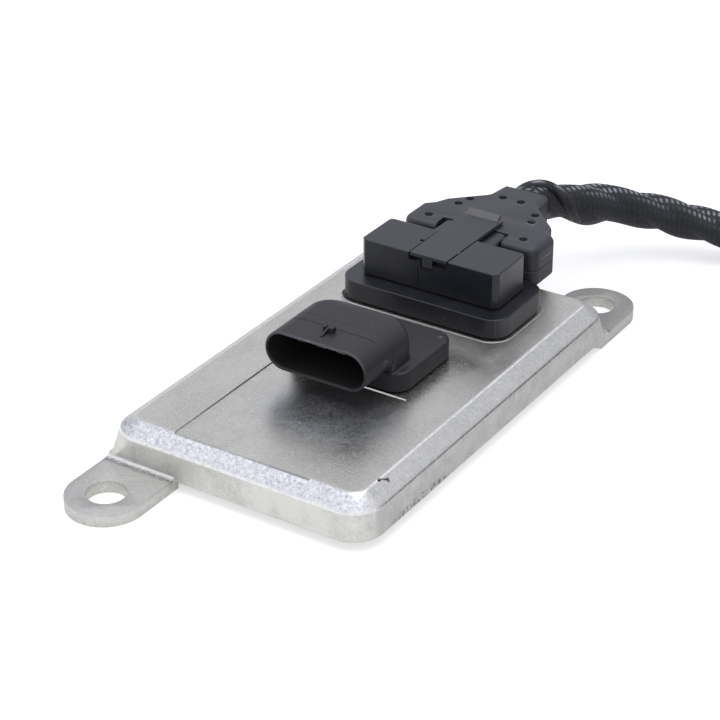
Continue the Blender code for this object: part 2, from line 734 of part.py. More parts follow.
def make_vehicle_header(plastic, rubber, tin):
    """Base block, oval socket, gasket and the four bent blades."""
    middle = (HEADER_FRONT + HEADER_BACK) / 2
    base = rectangle(HEADER_WIDTH / 2, (HEADER_BACK - HEADER_FRONT) / 2, HEADER_CORNER, 0.0, middle)
    spigot = header_spigot_outline()
    groove = header_spigot_outline(GAP + HEADER_SEAL_WIDTH + GAP)
    groove_top = SEAT + HEADER_SEAL_THICKNESS + GAP
    layers = [(spigot, SPIGOT_FOOT), (spigot, groove_top), (groove, groove_top), (groove, SEAT), (base, SEAT)]
    for sine, cosine in quarter(3):
        height = HEADER_TOP - HEADER_ROUNDING * (1 - sine)
        layers.append((grown(base, -HEADER_ROUNDING * (1 - cosine)), height))
    header = layered("vehicle_header", layers, plastic)
    fuse(header, make_socket_form(), make_latch_nub())
    mouth = [(socket_outline(-SOCKET_WALL), z) for z in (-SOCKET_END, -SOCKET_MOUTH + PAST)]
    cut(header, layered("cut_socket", mouth, rotation=ALONG_MINUS_Y))
    well_half = BLADE_PITCH * (BLADE_COUNT - 1) / 2 + BLADE_WIDTH / 2 + 2 * GAP
    well_y = (BLADE_WELL_FRONT, BLADE_WELL_FRONT + BLADE_WELL)
    well = (span(0, 2 * well_half), well_y, (SPIGOT_FOOT - PAST, SOCKET_Z + BLADE_THICKNESS + GAP))
    cut(header, boxes("cut_blade_well", [well]))
    slots = []
    for x in blade_places():
        slot_y = (SOCKET_END - PAST, BLADE_WELL_FRONT + PAST)
        slots.append((span(x, BLADE_WIDTH, GAP), slot_y, span(SOCKET_Z, BLADE_THICKNESS, GAP)))
    cut(header, boxes("cut_blade_slots", slots))
    inner = header_spigot_outline(GAP)
    outer = header_spigot_outline(GAP + HEADER_SEAL_WIDTH)
    top = SEAT + HEADER_SEAL_THICKNESS
    layered("header_seal", [(outer, SEAT), (outer, top), (inner, top), (inner, SEAT)], rubber, closed=True)
    for number, x in enumerate(blade_places(), 1):
        make_blade(number, x, tin)


def make_blade(number, x, tin):
    """One blade: flat in the socket, then down to the board."""
    half = BLADE_THICKNESS / 2
    tip = SOCKET_MOUTH + BLADE_SETBACK
    side = [
        (tip, SOCKET_Z - half / 2),
        (tip + BLADE_THICKNESS, SOCKET_Z - half),
        (BLADE_LEG_Y - half, SOCKET_Z - half),
        (BLADE_LEG_Y - half, BOARD_HEIGHT - PIN_TAIL),
        (BLADE_LEG_Y + half, BOARD_HEIGHT - PIN_TAIL),
        (BLADE_LEG_Y + half, SOCKET_Z),
        (BLADE_LEG_Y, SOCKET_Z + half),
        (tip + BLADE_THICKNESS, SOCKET_Z + half),
        (tip, SOCKET_Z + half / 2),
    ]
    bm = bmesh.new()
    skin(bm, [[(px, y, z) for y, z in side] for px in span(x, BLADE_WIDTH)])
    finish_mesh(f"header_pin_{number}", bm, tin)


# Sensor header and plug


def pedestal_outline(distance=0.0):
    """Outline of the pedestal."""
    base = rectangle(PEDESTAL_WIDTH / 2, PEDESTAL_LENGTH / 2, PEDESTAL_CORNER, 0.0, PEDESTAL_Y)
    return grown(base, distance)


def make_pedestal_seal(rubber):
    """Gasket under the pedestal's rim, squeezed out at the front left corner."""
    foot = SEAT
    top = SEAT + PEDESTAL_SEAL_THICKNESS
    corner = Vector((-PEDESTAL_WIDTH / 2, PEDESTAL_FRONT))
    middle = Vector((0.0, PEDESTAL_Y))
    outer = []
    for point in outline_points(pedestal_outline(-GAP)):
        place = Vector(point)
        closeness = max(0.0, 1 - (place - corner).length / SEAL_BULGE_REACH)
        outer.append(place + (place - middle).normalized() * SEAL_BULGE * math.sin(closeness * math.pi / 2))
    inner = outline_points(pedestal_outline(-PEDESTAL_SEAL_WIDTH))
    bm = bmesh.new()
    loops = [[(*point, foot) for point in outer], [(*point, top) for point in outer],
             [(*point, top) for point in inner], [(*point, foot) for point in inner]]
    skin(bm, loops, closed=True)
    finish_mesh("pedestal_seal", bm, rubber)


def make_sensor_header(plastic, rubber, gold):
    """Pedestal with a well for the plug, and the sensor pins."""
    inner = pedestal_outline(-PEDESTAL_SEAL_WIDTH - GAP)
    rim_foot = SEAT + PEDESTAL_SEAL_THICKNESS + GAP
    spigot = pin_spigot_outline()
    layers = [(spigot, SPIGOT_FOOT), (spigot, SEAT), (inner, SEAT), (inner, rim_foot), (pedestal_outline(), rim_foot)]
    for sine, cosine in quarter(2):
        height = PEDESTAL_TOP - PEDESTAL_ROUNDING * (1 - sine)
        layers.append((pedestal_outline(-PEDESTAL_ROUNDING * (1 - cosine)), height))
    header = layered("sensor_header", layers, plastic)
    well = rectangle(WELL_WIDTH / 2, WELL_LENGTH / 2, SPIGOT_CORNER, 0.0, PEDESTAL_Y)
    cut(header, layered("cut_well", [(well, PEDESTAL_FLOOR), (well, PEDESTAL_TOP + PAST)]))
    bores = []
    for x, y in pin_places():
        bores.append((span(x, PIN_SIZE, GAP), span(y, PIN_SIZE, GAP), (SPIGOT_FOOT - PAST, PEDESTAL_FLOOR + PAST)))
    cut(header, boxes("cut_pin_bores", bores))
    make_pedestal_seal(rubber)
    for number, (x, y) in enumerate(pin_places(), 1):
        height = (BOARD_HEIGHT - PIN_TAIL, PLUG_FOOT + PIN_REACH)
        boxes(f"sensor_pin_{number}", [(span(x, PIN_SIZE), span(y, PIN_SIZE), height)], gold)


def make_plug(plastic, gold):
    """Plug block with its spigot, its neck and the contacts."""
    half = PLUG_WIDTH / 2
    chamfer = PLUG_CHAMFER
    corners = [
        (-half + chamfer, PLUG_FRONT), (half - chamfer, PLUG_FRONT), (half, PLUG_FRONT + chamfer),
        (half, PLUG_BACK), (-half, PLUG_BACK), (-half, PLUG_FRONT + chamfer),
    ]
    block = corners, [GAP, GAP, GAP, chamfer, chamfer, GAP]
    layers = [(block, PLUG_FOOT)]
    for sine, cosine in quarter(2):
        layers.append((grown(block, -PLUG_ROUNDING * (1 - cosine)), PLUG_TOP - PLUG_ROUNDING * (1 - sine)))
    plug = layered("plug_housing", layers, plastic, steps=3)
    spigot = rectangle(WELL_WIDTH / 2 - GAP, WELL_LENGTH / 2 - GAP, SPIGOT_CORNER, 0.0, PEDESTAL_Y)
    fuse(plug, layered("form_plug_spigot", [(spigot, PLUG_SPIGOT_FOOT), (spigot, PLUG_FOOT + PAST)]))
    neck_top = SHELL_TOP - NECK_DROP
    neck_half = NECK_WIDTH / 2
    neck_corners = [(-neck_half, PLUG_FOOT), (neck_half, PLUG_FOOT), (neck_half, neck_top), (-neck_half, neck_top)]
    neck = neck_corners, [GAP, GAP, NECK_ROUNDING, NECK_ROUNDING]
    fuse(plug, layered("form_neck", [(neck, -NECK_BACK), (neck, PAST - PLUG_BACK)], steps=4, rotation=ALONG_MINUS_Y))
    groove_width = STRIP_FRONT_WIDTH + 2 * STRIP_SIDE_GAP
    groove = (span(0, groove_width), (PLUG_FRONT - PAST, PLUG_BACK + PAST), (SHELL_TOP, PLUG_TOP + PAST))
    cut(plug, boxes("cut_strip_groove", [groove]))
    panel_z = span((PLUG_FOOT + SHELL_TOP) / 2, PANEL_HEIGHT)
    panel = (span(0, PANEL_WIDTH), (PLUG_FRONT - PAST, PLUG_FRONT + PANEL_DEPTH), panel_z)
    cut(plug, boxes("cut_front_panel", [panel]))
    bore_size = PIN_SIZE + 4 * GAP + 2 * CONTACT_WALL
    bores = []
    for x, y in pin_places():
        bore_z = (PLUG_SPIGOT_FOOT - PAST, PLUG_SPIGOT_FOOT + CONTACT_BORE_DEPTH)
        bores.append((span(x, bore_size), span(y, bore_size), bore_z))
    cut(plug, boxes("cut_contact_bores", bores))
    contact_foot = PLUG_SPIGOT_FOOT + CONTACT_SETBACK
    contact_top = contact_foot + CONTACT_LENGTH
    for number, (x, y) in enumerate(pin_places(), 1):
        outer = square(x, y, PIN_SIZE / 2 + GAP + CONTACT_WALL)
        inner = square(x, y, PIN_SIZE / 2 + GAP)
        bm = bmesh.new()
        loops = [[(*p, contact_foot) for p in outer], [(*p, contact_top) for p in outer],
                 [(*p, contact_top) for p in inner], [(*p, contact_foot) for p in inner]]
        skin(bm, loops, closed=True)
        finish_mesh(f"plug_contact_{number}", bm, gold)


def square(x, y, half):
    """Corners of a square about a place."""
    return [(x - half, y - half), (x + half, y - half), (x + half, y + half), (x - half, y + half)]


def make_locking_strip(plastic):
    """Strip along the plug's top, with two slots in front and a thumb ramp behind."""
    front = PLUG_FRONT + STRIP_SETBACK
    back = front + STRIP_LENGTH
    foot = SHELL_TOP + GAP
    top = foot + STRIP_THICKNESS
    corners = [
        (-STRIP_FRONT_WIDTH / 2, front), (STRIP_FRONT_WIDTH / 2, front),
        (STRIP_BACK_WIDTH / 2, back), (-STRIP_BACK_WIDTH / 2, back),
    ]
    outline = corners, [GAP, GAP, PLUG_CHAMFER, PLUG_CHAMFER]
    strip = layered("locking_strip", [(outline, foot), (outline, top)], plastic, steps=4)
    ramp_front = back - THUMB_LENGTH
    bm = bmesh.new()
    side = [(ramp_front, top - STRIP_THICKNESS / 2), (back - GAP, top - STRIP_THICKNESS / 2),
            (back - GAP, top + THUMB_RISE), (back - 2 * GAP, top + THUMB_RISE), (ramp_front, top)]
    half = STRIP_BACK_WIDTH / 2 - PLUG_CHAMFER
    skin(bm, [[(x, y, z) for y, z in side] for x in (-half, half)])
    fuse(strip, finish_mesh("form_thumb_ramp", bm, None))
    slots = []
    slot_y = (front + STRIP_SLOT_SETBACK, front + STRIP_SLOT_SETBACK + STRIP_SLOT_LENGTH)
    for x in (-STRIP_SLOT_SPACING / 2, STRIP_SLOT_SPACING / 2):
        slots.append((span(x, STRIP_SLOT_WIDTH), slot_y, (foot - PAST, top + PAST)))
    cut(strip, boxes("cut_strip_slots", slots))


# Back shell


def shell_outline(distance=0.0):
    """Outline of the back shell, which narrows to the cable."""
    half_side = [
        (SHELL_WIDE / 2, 0.0, SHELL_FRONT_CORNER),
        (SHELL_WIDE / 2, SHELL_STRAIGHT, SHELL_SIDE_CORNER),
        (SHELL_WIDE / 2 - SHELL_NOTCH, SHELL_STRAIGHT + SHELL_NOTCH, SHELL_SIDE_CORNER),
        (SHELL_WAIST / 2, SHELL_WAIST_AT, SHELL_SIDE_CORNER),
        (SHELL_THROAT / 2, SHELL_THROAT_AT, SHELL_THROAT_CORNER),
        (SHELL_END / 2, SHELL_LENGTH, SHELL_END_CORNER),
    ]
    corners = [(x, SHELL_FRONT + y) for x, y, _ in half_side]
    corners += [(-x, SHELL_FRONT + y) for x, y, _ in reversed(half_side)]
    radii = [radius for _, _, radius in half_side]
    return grown((corners, radii + radii[::-1]), distance)


def make_back_shell(plastic):
    """Two shell halves round the neck and the start of the cable."""
    top_layers = [(shell_outline(), SHELL_SEAM + GAP / 2)]
    for sine, cosine in quarter(4):
        height = SHELL_TOP - SHELL_TOP_ROUNDING * (1 - sine)
        top_layers.append((shell_outline(-SHELL_TOP_ROUNDING * (1 - cosine)), height))
    foot_layers = []
    for sine, cosine in reversed(quarter(2)):
        height = SHELL_FOOT + SHELL_FOOT_ROUNDING * (1 - sine)
        foot_layers.append((shell_outline(-SHELL_FOOT_ROUNDING * (1 - cosine)), height))
    foot_layers.append((shell_outline(), SHELL_SEAM - GAP / 2))
    top = layered("cover_top", top_layers, plastic, steps=4)
    bottom = layered("cover_bottom", foot_layers, plastic, steps=4)
    inside = shell_outline(-SHELL_WALL)
    hollow = [(inside, SHELL_FOOT + SHELL_SKIN), (inside, SHELL_TOP - SHELL_SKIN)]
    hollow_form = layered("cut_shell_hollow", hollow, steps=4)
    notch = (span(0, NECK_WIDTH, GAP), (SHELL_FRONT - PAST, NECK_BACK + GAP), (PLUG_FOOT - GAP, SHELL_TOP + PAST))
    notch_form = boxes("cut_shell_notch", [notch])
    outlet_span = (-SHELL_BACK - PAST, -SHELL_BACK + 2 * SHELL_WALL)
    outlet = drills("cut_shell_outlet", [(0.0, CABLE_Z)], SHELL_OUTLET / 2, outlet_span, rotation=ALONG_MINUS_Y)
    for half in (top, bottom):
        cut(half, hollow_form, notch_form, outlet)
    holes = []
    for x, y in SHELL_HOLE_PLACES:
        holes += [(x, SHELL_FRONT + y), (-x, SHELL_FRONT + y)]
    hole_span = (SHELL_TOP - SHELL_HOLE_DEPTH, SHELL_TOP + PAST)
    cut(top, drills("cut_shell_holes", holes, SHELL_HOLE / 2, hole_span, steps=12))


# Lead


def smooth_route(points, spacing):
    """Points about a spacing apart along a smooth curve through the route's points."""
    nodes = [Vector(point) for point in points]
    padded = [2 * nodes[0] - nodes[1]] + nodes + [2 * nodes[-1] - nodes[-2]]
    dense = []
    for index in range(1, len(padded) - 2):
        before, start, end, after = padded[index - 1:index + 3]
        for step in range(20):
            t = step / 20
            dense.append(0.5 * (2 * start + (end - before) * t
                                + (2 * before - 5 * start + 4 * end - after) * t ** 2
                                + (3 * start - before - 3 * end + after) * t ** 3))
    dense.append(nodes[-1])
    lengths = [0.0]
    for first, second in zip(dense, dense[1:]):
        lengths.append(lengths[-1] + (second - first).length)
    count = max(2, round(lengths[-1] / spacing))
    picked = []
    for index in range(count + 1):
        wanted = lengths[-1] * index / count
        nearest = min(range(len(dense)), key=lambda place: abs(lengths[place] - wanted))
        picked.append(dense[nearest])
    return picked


def make_tube(name, route, material):
    """Round cable along a route, straight for a moment at both ends."""
    curve = bpy.data.curves.new(name, "CURVE")
    curve.dimensions = "3D"
    curve.bevel_depth = CABLE_RADIUS
    curve.bevel_resolution = 4
    curve.use_fill_caps = True
    points = [route[0], *smooth_route(route[1:-1], CABLE_SAMPLE), route[-1]]
    spline = curve.splines.new("POLY")
    spline.points.add(len(points) - 1)
    for target, point in zip(spline.points, points):
        target.co = (*point, 1.0)
    curve.materials.append(material)
    item = bpy.data.objects.new(name, curve)
    bpy.context.scene.collection.objects.link(item)


def make_lead(fabric):
    """The lead: out of the shell, round the coil, and on to the probe."""
    exit_point = (0.0, SHELL_BACK + GAP, CABLE_Z)
    make_tube("sensor_cable", (exit_point, *CABLE_POINTS), fabric)
    profile = []
    top = 2 * CABLE_RADIUS * COIL_LAYERS
    for sine, cosine in quarter(3):
        profile.append((COIL_RADIUS - CABLE_RADIUS * sine, CABLE_RADIUS * (1 - cosine)))
    for sine, cosine in reversed(quarter(3)):
        profile.append((COIL_RADIUS - CABLE_RADIUS * sine, top - CABLE_RADIUS * (1 - cosine)))
    for sine, cosine in quarter(3)[1:]:
        profile.append((COIL_RADIUS + CABLE_RADIUS * sine, top - CABLE_RADIUS * (1 - cosine)))
    for sine, cosine in reversed(quarter(3)[1:]):
        profile.append((COIL_RADIUS + CABLE_RADIUS * sine, CABLE_RADIUS * (1 - cosine)))
    turned("cable_coil", profile, fabric, 40, location=(*COIL_CENTRE, 0.0))
    probe_end = (PROBE_X, PROBE_Y + GAP, PROBE_Z)
    make_tube("cable_tail", (*TAIL_POINTS, probe_end), fabric)


# Probe, along local Z from the boot to the tip


def probe_placing():
    """Place and rotation of every probe piece."""
    return {"location": (PROBE_X, PROBE_Y, PROBE_Z), "rotation": ALONG_MINUS_Y}


def make_cap(name, radius, length, start, hole, hole_rows, steel):
    """Perforated cap, open to the body and closed at its nose."""
    end = start + length
    inside = radius - CAP_WALL
    profile = [
        (radius, start), (radius, end - CAP_NOSE), (radius - CAP_NOSE, end), (0, end),
        (0, end - CAP_WALL), (inside - CAP_NOSE, end - CAP_WALL), (inside, end - CAP_NOSE - CAP_WALL / 2),
        (inside, start),
    ]
    cap = turned(name, profile, steel, 36, **probe_placing())
    x, y, z = PROBE_X, PROBE_Y, PROBE_Z
    bm = bmesh.new()
    steps = 10
    for row in hole_rows:
        for index in range(CAP_HOLES):
            angle = 2 * math.pi * (index + 0.25) / CAP_HOLES
            outward = Vector((math.cos(angle), math.sin(angle), 0))
            across = Vector((-math.sin(angle), math.cos(angle), 0))
            middle = Vector((0, 0, end - row))
            loops = []
            for distance in (inside / 2, radius + PAST):
                loop = []
                for step in range(steps):
                    turn = 2 * math.pi * step / steps
                    offset = across * math.cos(turn) + Vector((0, 0, 1)) * math.sin(turn)
                    loop.append(middle + outward * distance + offset * hole / 2)
                loops.append(loop)
            skin(bm, loops)
    holes = finish_mesh(f"cut_{name}_holes", bm, None, location=(x, y, z), rotation=ALONG_MINUS_Y)
    cut(cap, holes)
    nose = drills(f"cut_{name}_nose", [(0.0, 0.0)], CAP_NOSE_HOLE / 2, (end - 2 * CAP_NOSE, end + PAST), 12,
                  location=(x, y, z), rotation=ALONG_MINUS_Y)
    cut(cap, nose)


def make_probe(rubber, steel, copper, ceramic, zirconia):
    """Probe from the rubber boot to the perforated caps."""
    placing = probe_placing()
    grip_start = BOOT_LENGTH - BOOT_GRIP
    sleeve_start = grip_start + GAP
    sleeve_end = sleeve_start + SLEEVE_LENGTH
    grip_radius = SLEEVE_RADIUS + GAP
    boot_profile = [
        (BOOT_BORE / 2, 0.0), (BOOT_SMALL_RADIUS, 0.0), (BOOT_SMALL_RADIUS, BOOT_GRIP / 2),
        (BOOT_LARGE_RADIUS, grip_start), (BOOT_LARGE_RADIUS, BOOT_LENGTH), (grip_radius, BOOT_LENGTH),
        (grip_radius, grip_start), (BOOT_BORE / 2, grip_start),
    ]
    turned("probe_boot", boot_profile, rubber, 32, **placing)
    inside = SLEEVE_RADIUS - SLEEVE_WALL
    crimp = sleeve_start + CRIMP_AT
    sleeve_profile = [
        (SLEEVE_RADIUS, sleeve_start), (SLEEVE_RADIUS, crimp), (SLEEVE_RADIUS - CRIMP_DEPTH, crimp + CRIMP_DEPTH),
        (SLEEVE_RADIUS - CRIMP_DEPTH, crimp + CRIMP_WIDTH), (SLEEVE_RADIUS, crimp + CRIMP_WIDTH + CRIMP_DEPTH),
        (SLEEVE_RADIUS, sleeve_end), (inside, sleeve_end), (inside, sleeve_start),
    ]
    turned("probe_sleeve", sleeve_profile, steel, 36, **placing)
    hex_start = sleeve_end + GAP
    hex_end = hex_start + HEX_HEIGHT
    tip = hex_end + THREAD_LENGTH
    collar = inside - GAP
    seat_radius = OUTER_CAP_RADIUS + GAP
    seat = tip - CAP_SEAT_DEPTH
    body_profile = [
        (collar, hex_start - COLLAR_LENGTH), (collar, hex_start + PAST), (THREAD_RADIUS, hex_start + PAST),
        (THREAD_RADIUS, tip - THREAD_LEAD_IN), (THREAD_RADIUS - THREAD_LEAD_IN, tip), (seat_radius, tip),
        (seat_radius, seat), (BODY_BORE, seat), (BODY_BORE, hex_start - COLLAR_LENGTH),
    ]
    body = turned("probe_body", body_profile, steel, 36, **placing)
    corner = HEX_FLATS / 2 / math.cos(math.pi / 6)
    bm = bmesh.new()
    outer = [(corner * math.cos(math.pi * k / 3), corner * math.sin(math.pi * k / 3)) for k in range(6)]
    hidden = (collar + BODY_BORE / math.cos(math.pi / 6)) / 2
    hole = [hidden / corner * Vector(point) for point in outer]
    loops = [[(*p, hex_start) for p in outer], [(*p, hex_end) for p in outer],
             [(*p, hex_end) for p in hole], [(*p, hex_start) for p in hole]]
    skin(bm, loops, closed=True)
    fuse(body, finish_mesh("form_hexagon", bm, None, **placing))
    ring_inner = THREAD_RADIUS + GAP
    ring_start = hex_end + GAP
    ring_end = ring_start + RING_THICKNESS
    edge = RING_THICKNESS / 4
    ring_outer = ring_inner + RING_WIDTH
    ring_profile = [
        (ring_inner, ring_start), (ring_outer - edge, ring_start), (ring_outer, ring_start + edge),
        (ring_outer, ring_end - edge), (ring_outer - edge, ring_end), (ring_inner, ring_end),
    ]
    turned("sealing_ring", ring_profile, copper, 36, **placing)
    cap_start = seat + GAP
    make_cap("outer_cap", OUTER_CAP_RADIUS, OUTER_CAP_LENGTH, cap_start, OUTER_CAP_HOLE, OUTER_CAP_ROWS, steel)
    make_cap("inner_cap", INNER_CAP_RADIUS, INNER_CAP_LENGTH, cap_start, INNER_CAP_HOLE, INNER_CAP_ROWS, steel)
    insulator_end = seat - GAP
    slot_x = ELEMENT_WIDTH + 2 * GAP
    slot_y = ELEMENT_THICKNESS + 2 * GAP
    insulator_start = insulator_end - INSULATOR_LENGTH
    insulator_profile = [(0, insulator_start), (BODY_BORE - GAP, insulator_start), (BODY_BORE - GAP, insulator_end),
                         (0, insulator_end)]
    insulator = turned("element_insulator", insulator_profile, ceramic, 28, **placing)
    slot_z = (insulator_start - PAST, insulator_end + PAST)
    slot = boxes("cut_element_slot", [(span(0, slot_x), span(0, slot_y), slot_z)])
    slot.location = placing["location"]
    slot.rotation_euler = placing["rotation"]
    cut(insulator, slot)
    element_end = insulator_end + ELEMENT_REACH
    element_z = (element_end - ELEMENT_LENGTH, element_end)
    element = boxes("sensing_element", [(span(0, ELEMENT_WIDTH), span(0, ELEMENT_THICKNESS), element_z)], zirconia)
    element.location = placing["location"]
    element.rotation_euler = placing["rotation"]


def main():
    """Build every piece of the sensor."""
    clear_scene()
    cast_metal = make_material("cast_aluminium", (0.62, 0.62, 0.64), 0.42, 0.9)
    sheet_metal = make_material("sheet_aluminium", (0.55, 0.55, 0.56), 0.4, 0.9)
    steel = make_material("steel", (0.5, 0.49, 0.47), 0.35, 1.0)
    rubber = make_material("black_rubber", (0.02, 0.02, 0.022), 0.6)
    dark_plastic = make_material("charcoal_plastic", (0.035, 0.035, 0.038), 0.5)
    satin_plastic = make_material("satin_plastic", (0.025, 0.027, 0.033), 0.3)
    laminate = make_material("board_laminate", (0.03, 0.14, 0.06), 0.5)
    epoxy = make_material("chip_epoxy", (0.02, 0.02, 0.02), 0.5)
    ferrite = make_material("ferrite", (0.05, 0.05, 0.055), 0.7)
    can = make_material("capacitor_can", (0.6, 0.6, 0.62), 0.35, 0.9)
    tin = make_material("tinned_brass", (0.7, 0.68, 0.62), 0.3, 1.0)
    gold = make_material("gold_plating", (0.9, 0.65, 0.3), 0.25, 1.0)
    copper = make_material("copper_ring", (0.72, 0.4, 0.25), 0.35, 1.0)
    ceramic = make_material("ceramic", (0.75, 0.73, 0.68), 0.6)
    zirconia = make_material("zirconia", (0.85, 0.84, 0.8), 0.5)
    fabric = make_material("woven_sleeve", (0.04, 0.04, 0.045), 0.8)
    make_housing(cast_metal)
    make_base_cover(sheet_metal, rubber, steel)
    make_board(laminate, epoxy, ferrite, can)
    make_vehicle_header(dark_plastic, rubber, tin)
    make_sensor_header(satin_plastic, rubber, gold)
    make_plug(satin_plastic, gold)
    make_locking_strip(dark_plastic)
    make_back_shell(dark_plastic)
    make_lead(fabric)
    make_probe(rubber, steel, copper, ceramic, zirconia)


main()
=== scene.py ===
"""Dressed model of a nitrogen oxide sensor: cast control unit, socket, plug, woven lead and exhaust probe."""

import math

import bmesh
import bpy
from bpy.props import FloatProperty, FloatVectorProperty, IntProperty, PointerProperty
from mathutils import Matrix, Vector


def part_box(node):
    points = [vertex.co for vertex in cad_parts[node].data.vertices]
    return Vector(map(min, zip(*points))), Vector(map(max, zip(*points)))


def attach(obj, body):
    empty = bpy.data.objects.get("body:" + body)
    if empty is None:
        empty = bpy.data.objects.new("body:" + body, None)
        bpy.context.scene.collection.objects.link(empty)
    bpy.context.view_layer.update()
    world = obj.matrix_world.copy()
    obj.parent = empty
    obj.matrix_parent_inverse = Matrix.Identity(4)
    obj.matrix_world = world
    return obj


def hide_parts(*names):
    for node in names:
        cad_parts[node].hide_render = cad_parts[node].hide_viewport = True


bl_info = {
    "name": "Nitrogen oxide sensor",
    "version": (1, 0, 0),
    "blender": (4, 5, 0),
    "location": "3D View > Sidebar > Sensor",
    "description": "Builds the dressed nitrogen oxide sensor round its fixed frame, piece by piece",
    "category": "Object",
}

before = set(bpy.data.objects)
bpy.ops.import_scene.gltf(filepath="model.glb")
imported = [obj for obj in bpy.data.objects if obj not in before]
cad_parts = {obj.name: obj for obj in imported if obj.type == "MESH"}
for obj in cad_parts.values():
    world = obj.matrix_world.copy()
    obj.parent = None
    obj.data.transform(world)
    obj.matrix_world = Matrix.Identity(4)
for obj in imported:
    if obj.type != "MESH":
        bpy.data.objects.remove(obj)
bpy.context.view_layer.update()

# Lays local Z along -Y
ALONG_MINUS_Y = Matrix.Rotation(math.pi / 2, 4, "X")

# Gap between seated pieces, how far cutters and joined forms run past a face, and how deep raised forms are sunk
SEAT_GAP = 0.0003
OVERRUN = 0.001
SUNK = 0.0003


def size(name, default, text):
    """A length that the user may change."""
    return FloatProperty(name=name, description=text, default=default, unit="LENGTH", precision=5)


def tint(name, default, text):
    """A colour that the user may change."""
    return FloatVectorProperty(name=name, description=text, default=default, size=3, subtype="COLOR", min=0, max=1)


class CaseSettings(bpy.types.PropertyGroup):
    """Sizes and colours of the cast case."""
    length: size("Length", 0.1026, "Length of the case between its walls")
    corner: size("Corner radius", 0.0070, "Radius of the upright corners")
    foot: size("Foot height", 0.0020, "Height of the walls' lower edge over the mounting plane")
    shoulder: size("Shoulder height", 0.0088, "Height where the wall turns into the bevel")
    bevel: size("Bevel inset", 0.0038, "How far the bevel leans in")
    wall: size("Wall", 0.0025, "Thickness of the walls")
    lip: size("Lip", 0.0013, "Width of the rim round the base cover")
    corner_foot: size("Corner at the ears", 0.0007, "Radius of the two corners over the ears, at the ears")
    edge: size("Edge rounding", 0.0006, "Radius of the worn edges")
    top_edge: size("Top edge rounding", 0.0014, "Radius of the soft edge between the bevel and the top")
    ear_thickness: size("Ear thickness", 0.0027, "Thickness of the mounting ears")
    ear_radius: size("Ear radius", 0.0086, "Radius of the mounting ears")
    ear_hole: size("Ear hole", 0.0085, "Diameter of the holes in the ears")
    ear_fillet: size("Ear fillet", 0.0009, "Radius between an ear and the wall")
    recess_width: size("Recess width", 0.0328, "Width of the shallow label recess")
    recess_depth: size("Recess depth", 0.0003, "Depth of the shallow label recess")
    metal: tint("Cast metal", (0.66, 0.65, 0.61), "Colour of the cast aluminium")


class SocketSettings(bpy.types.PropertyGroup):
    """Sizes of the vehicle header with its oval socket."""
    base_top: size("Base top", 0.0161, "Height of the base block's top")
    base_front: size("Base front", -0.0113, "Front of the base block along Y")
    base_corner: size("Base corner", 0.0040, "Radius of the base block's upright corners")
    width: size("Socket width", 0.0251, "Outer width of the oval socket")
    height: size("Socket height", 0.0091, "Outer height of the oval socket")
    middle: size("Socket middle", 0.02005, "Height of the socket's middle")
    wall: size("Socket wall", 0.0007, "Thickness of the socket's wall")
    depth: size("Socket depth", 0.0131, "Depth of the socket")
    body_back: size("Body back", -0.0013, "Back of the block behind the socket along Y")
    body_corner: size("Body corner", 0.0045, "Rounding of the block's back corners")
    plastic: tint("Charcoal plastic", (0.012, 0.012, 0.014), "Colour of the matt moulded plastic")


class PlugSettings(bpy.types.PropertyGroup):
    """Sizes of the pedestal, the plug block and the locking strip."""
    pedestal_corner: size("Pedestal corner", 0.0048, "Radius of the pedestal's upright corners")
    plug_front: size("Plug front", 0.0235, "Front of the plug block along Y")
    plug_back: size("Plug back", 0.0364, "Back of the plug block along Y")
    chamfer: size("Plug chamfer", 0.0011, "Chamfer of the block's front corners")
    neck_width: size("Neck width", 0.0164, "Width of the neck that runs into the back shell")
    strip_width: size("Strip width", 0.0094, "Width of the locking strip in front")
    strip_gap: size("Strip gap", 0.0005, "Gap on each side of the locking strip")
    groove_floor: size("Groove floor", 0.0243, "Height of the strip's groove, which is also the shell's top")
    satin: tint("Satin plastic", (0.013, 0.0138, 0.018), "Colour of the satin moulded plastic")


class ShellSettings(bpy.types.PropertyGroup):
    """Sizes of the back shell."""
    wall: size("Shell wall", 0.0016, "Thickness of the shell's sides")
    skin: size("Shell skin", 0.0014, "Thickness of the shell's top and bottom")
    seam: size("Seam height", 0.0184, "Height of the seam between the halves")
    rounding: size("Top rounding", 0.0018, "Radius of the shell's upper edges")
    hole: size("Hole", 0.0018, "Diameter of the blind holes")
    hole_depth: size("Hole depth", 0.0013, "Depth of the blind holes")
    plastic: tint("Shell plastic", (0.024, 0.025, 0.031), "Colour of the shell and the strip")
    outlet: size("Outlet", 0.0072, "Diameter of the opening for the lead")


class LeadSettings(bpy.types.PropertyGroup):
    """Sizes and colour of the lead."""
    radius: size("Lead radius", 0.0042, "Radius of the woven lead")
    lobe: size("Lobe height", 0.00070, "How far the twisted strands bulge")
    pitch: size("Lay length", 0.0380, "Length of one full twist of the strands")
    rib: size("Rib", 0.00135, "Distance between the sleeve's ribs")
    strand_radius: size("Strand radius", 0.0013, "Radius of the loose strand at the shell")
    strands: IntProperty(name="Strands", description="Twisted strands in the sleeve", default=3, min=2, max=6)
    coil_radius: size("Coil radius", 0.0420, "Radius of the coil at the middle of the lead")
    fabric: tint("Sleeve", (0.020, 0.021, 0.026), "Colour of the woven sleeve")


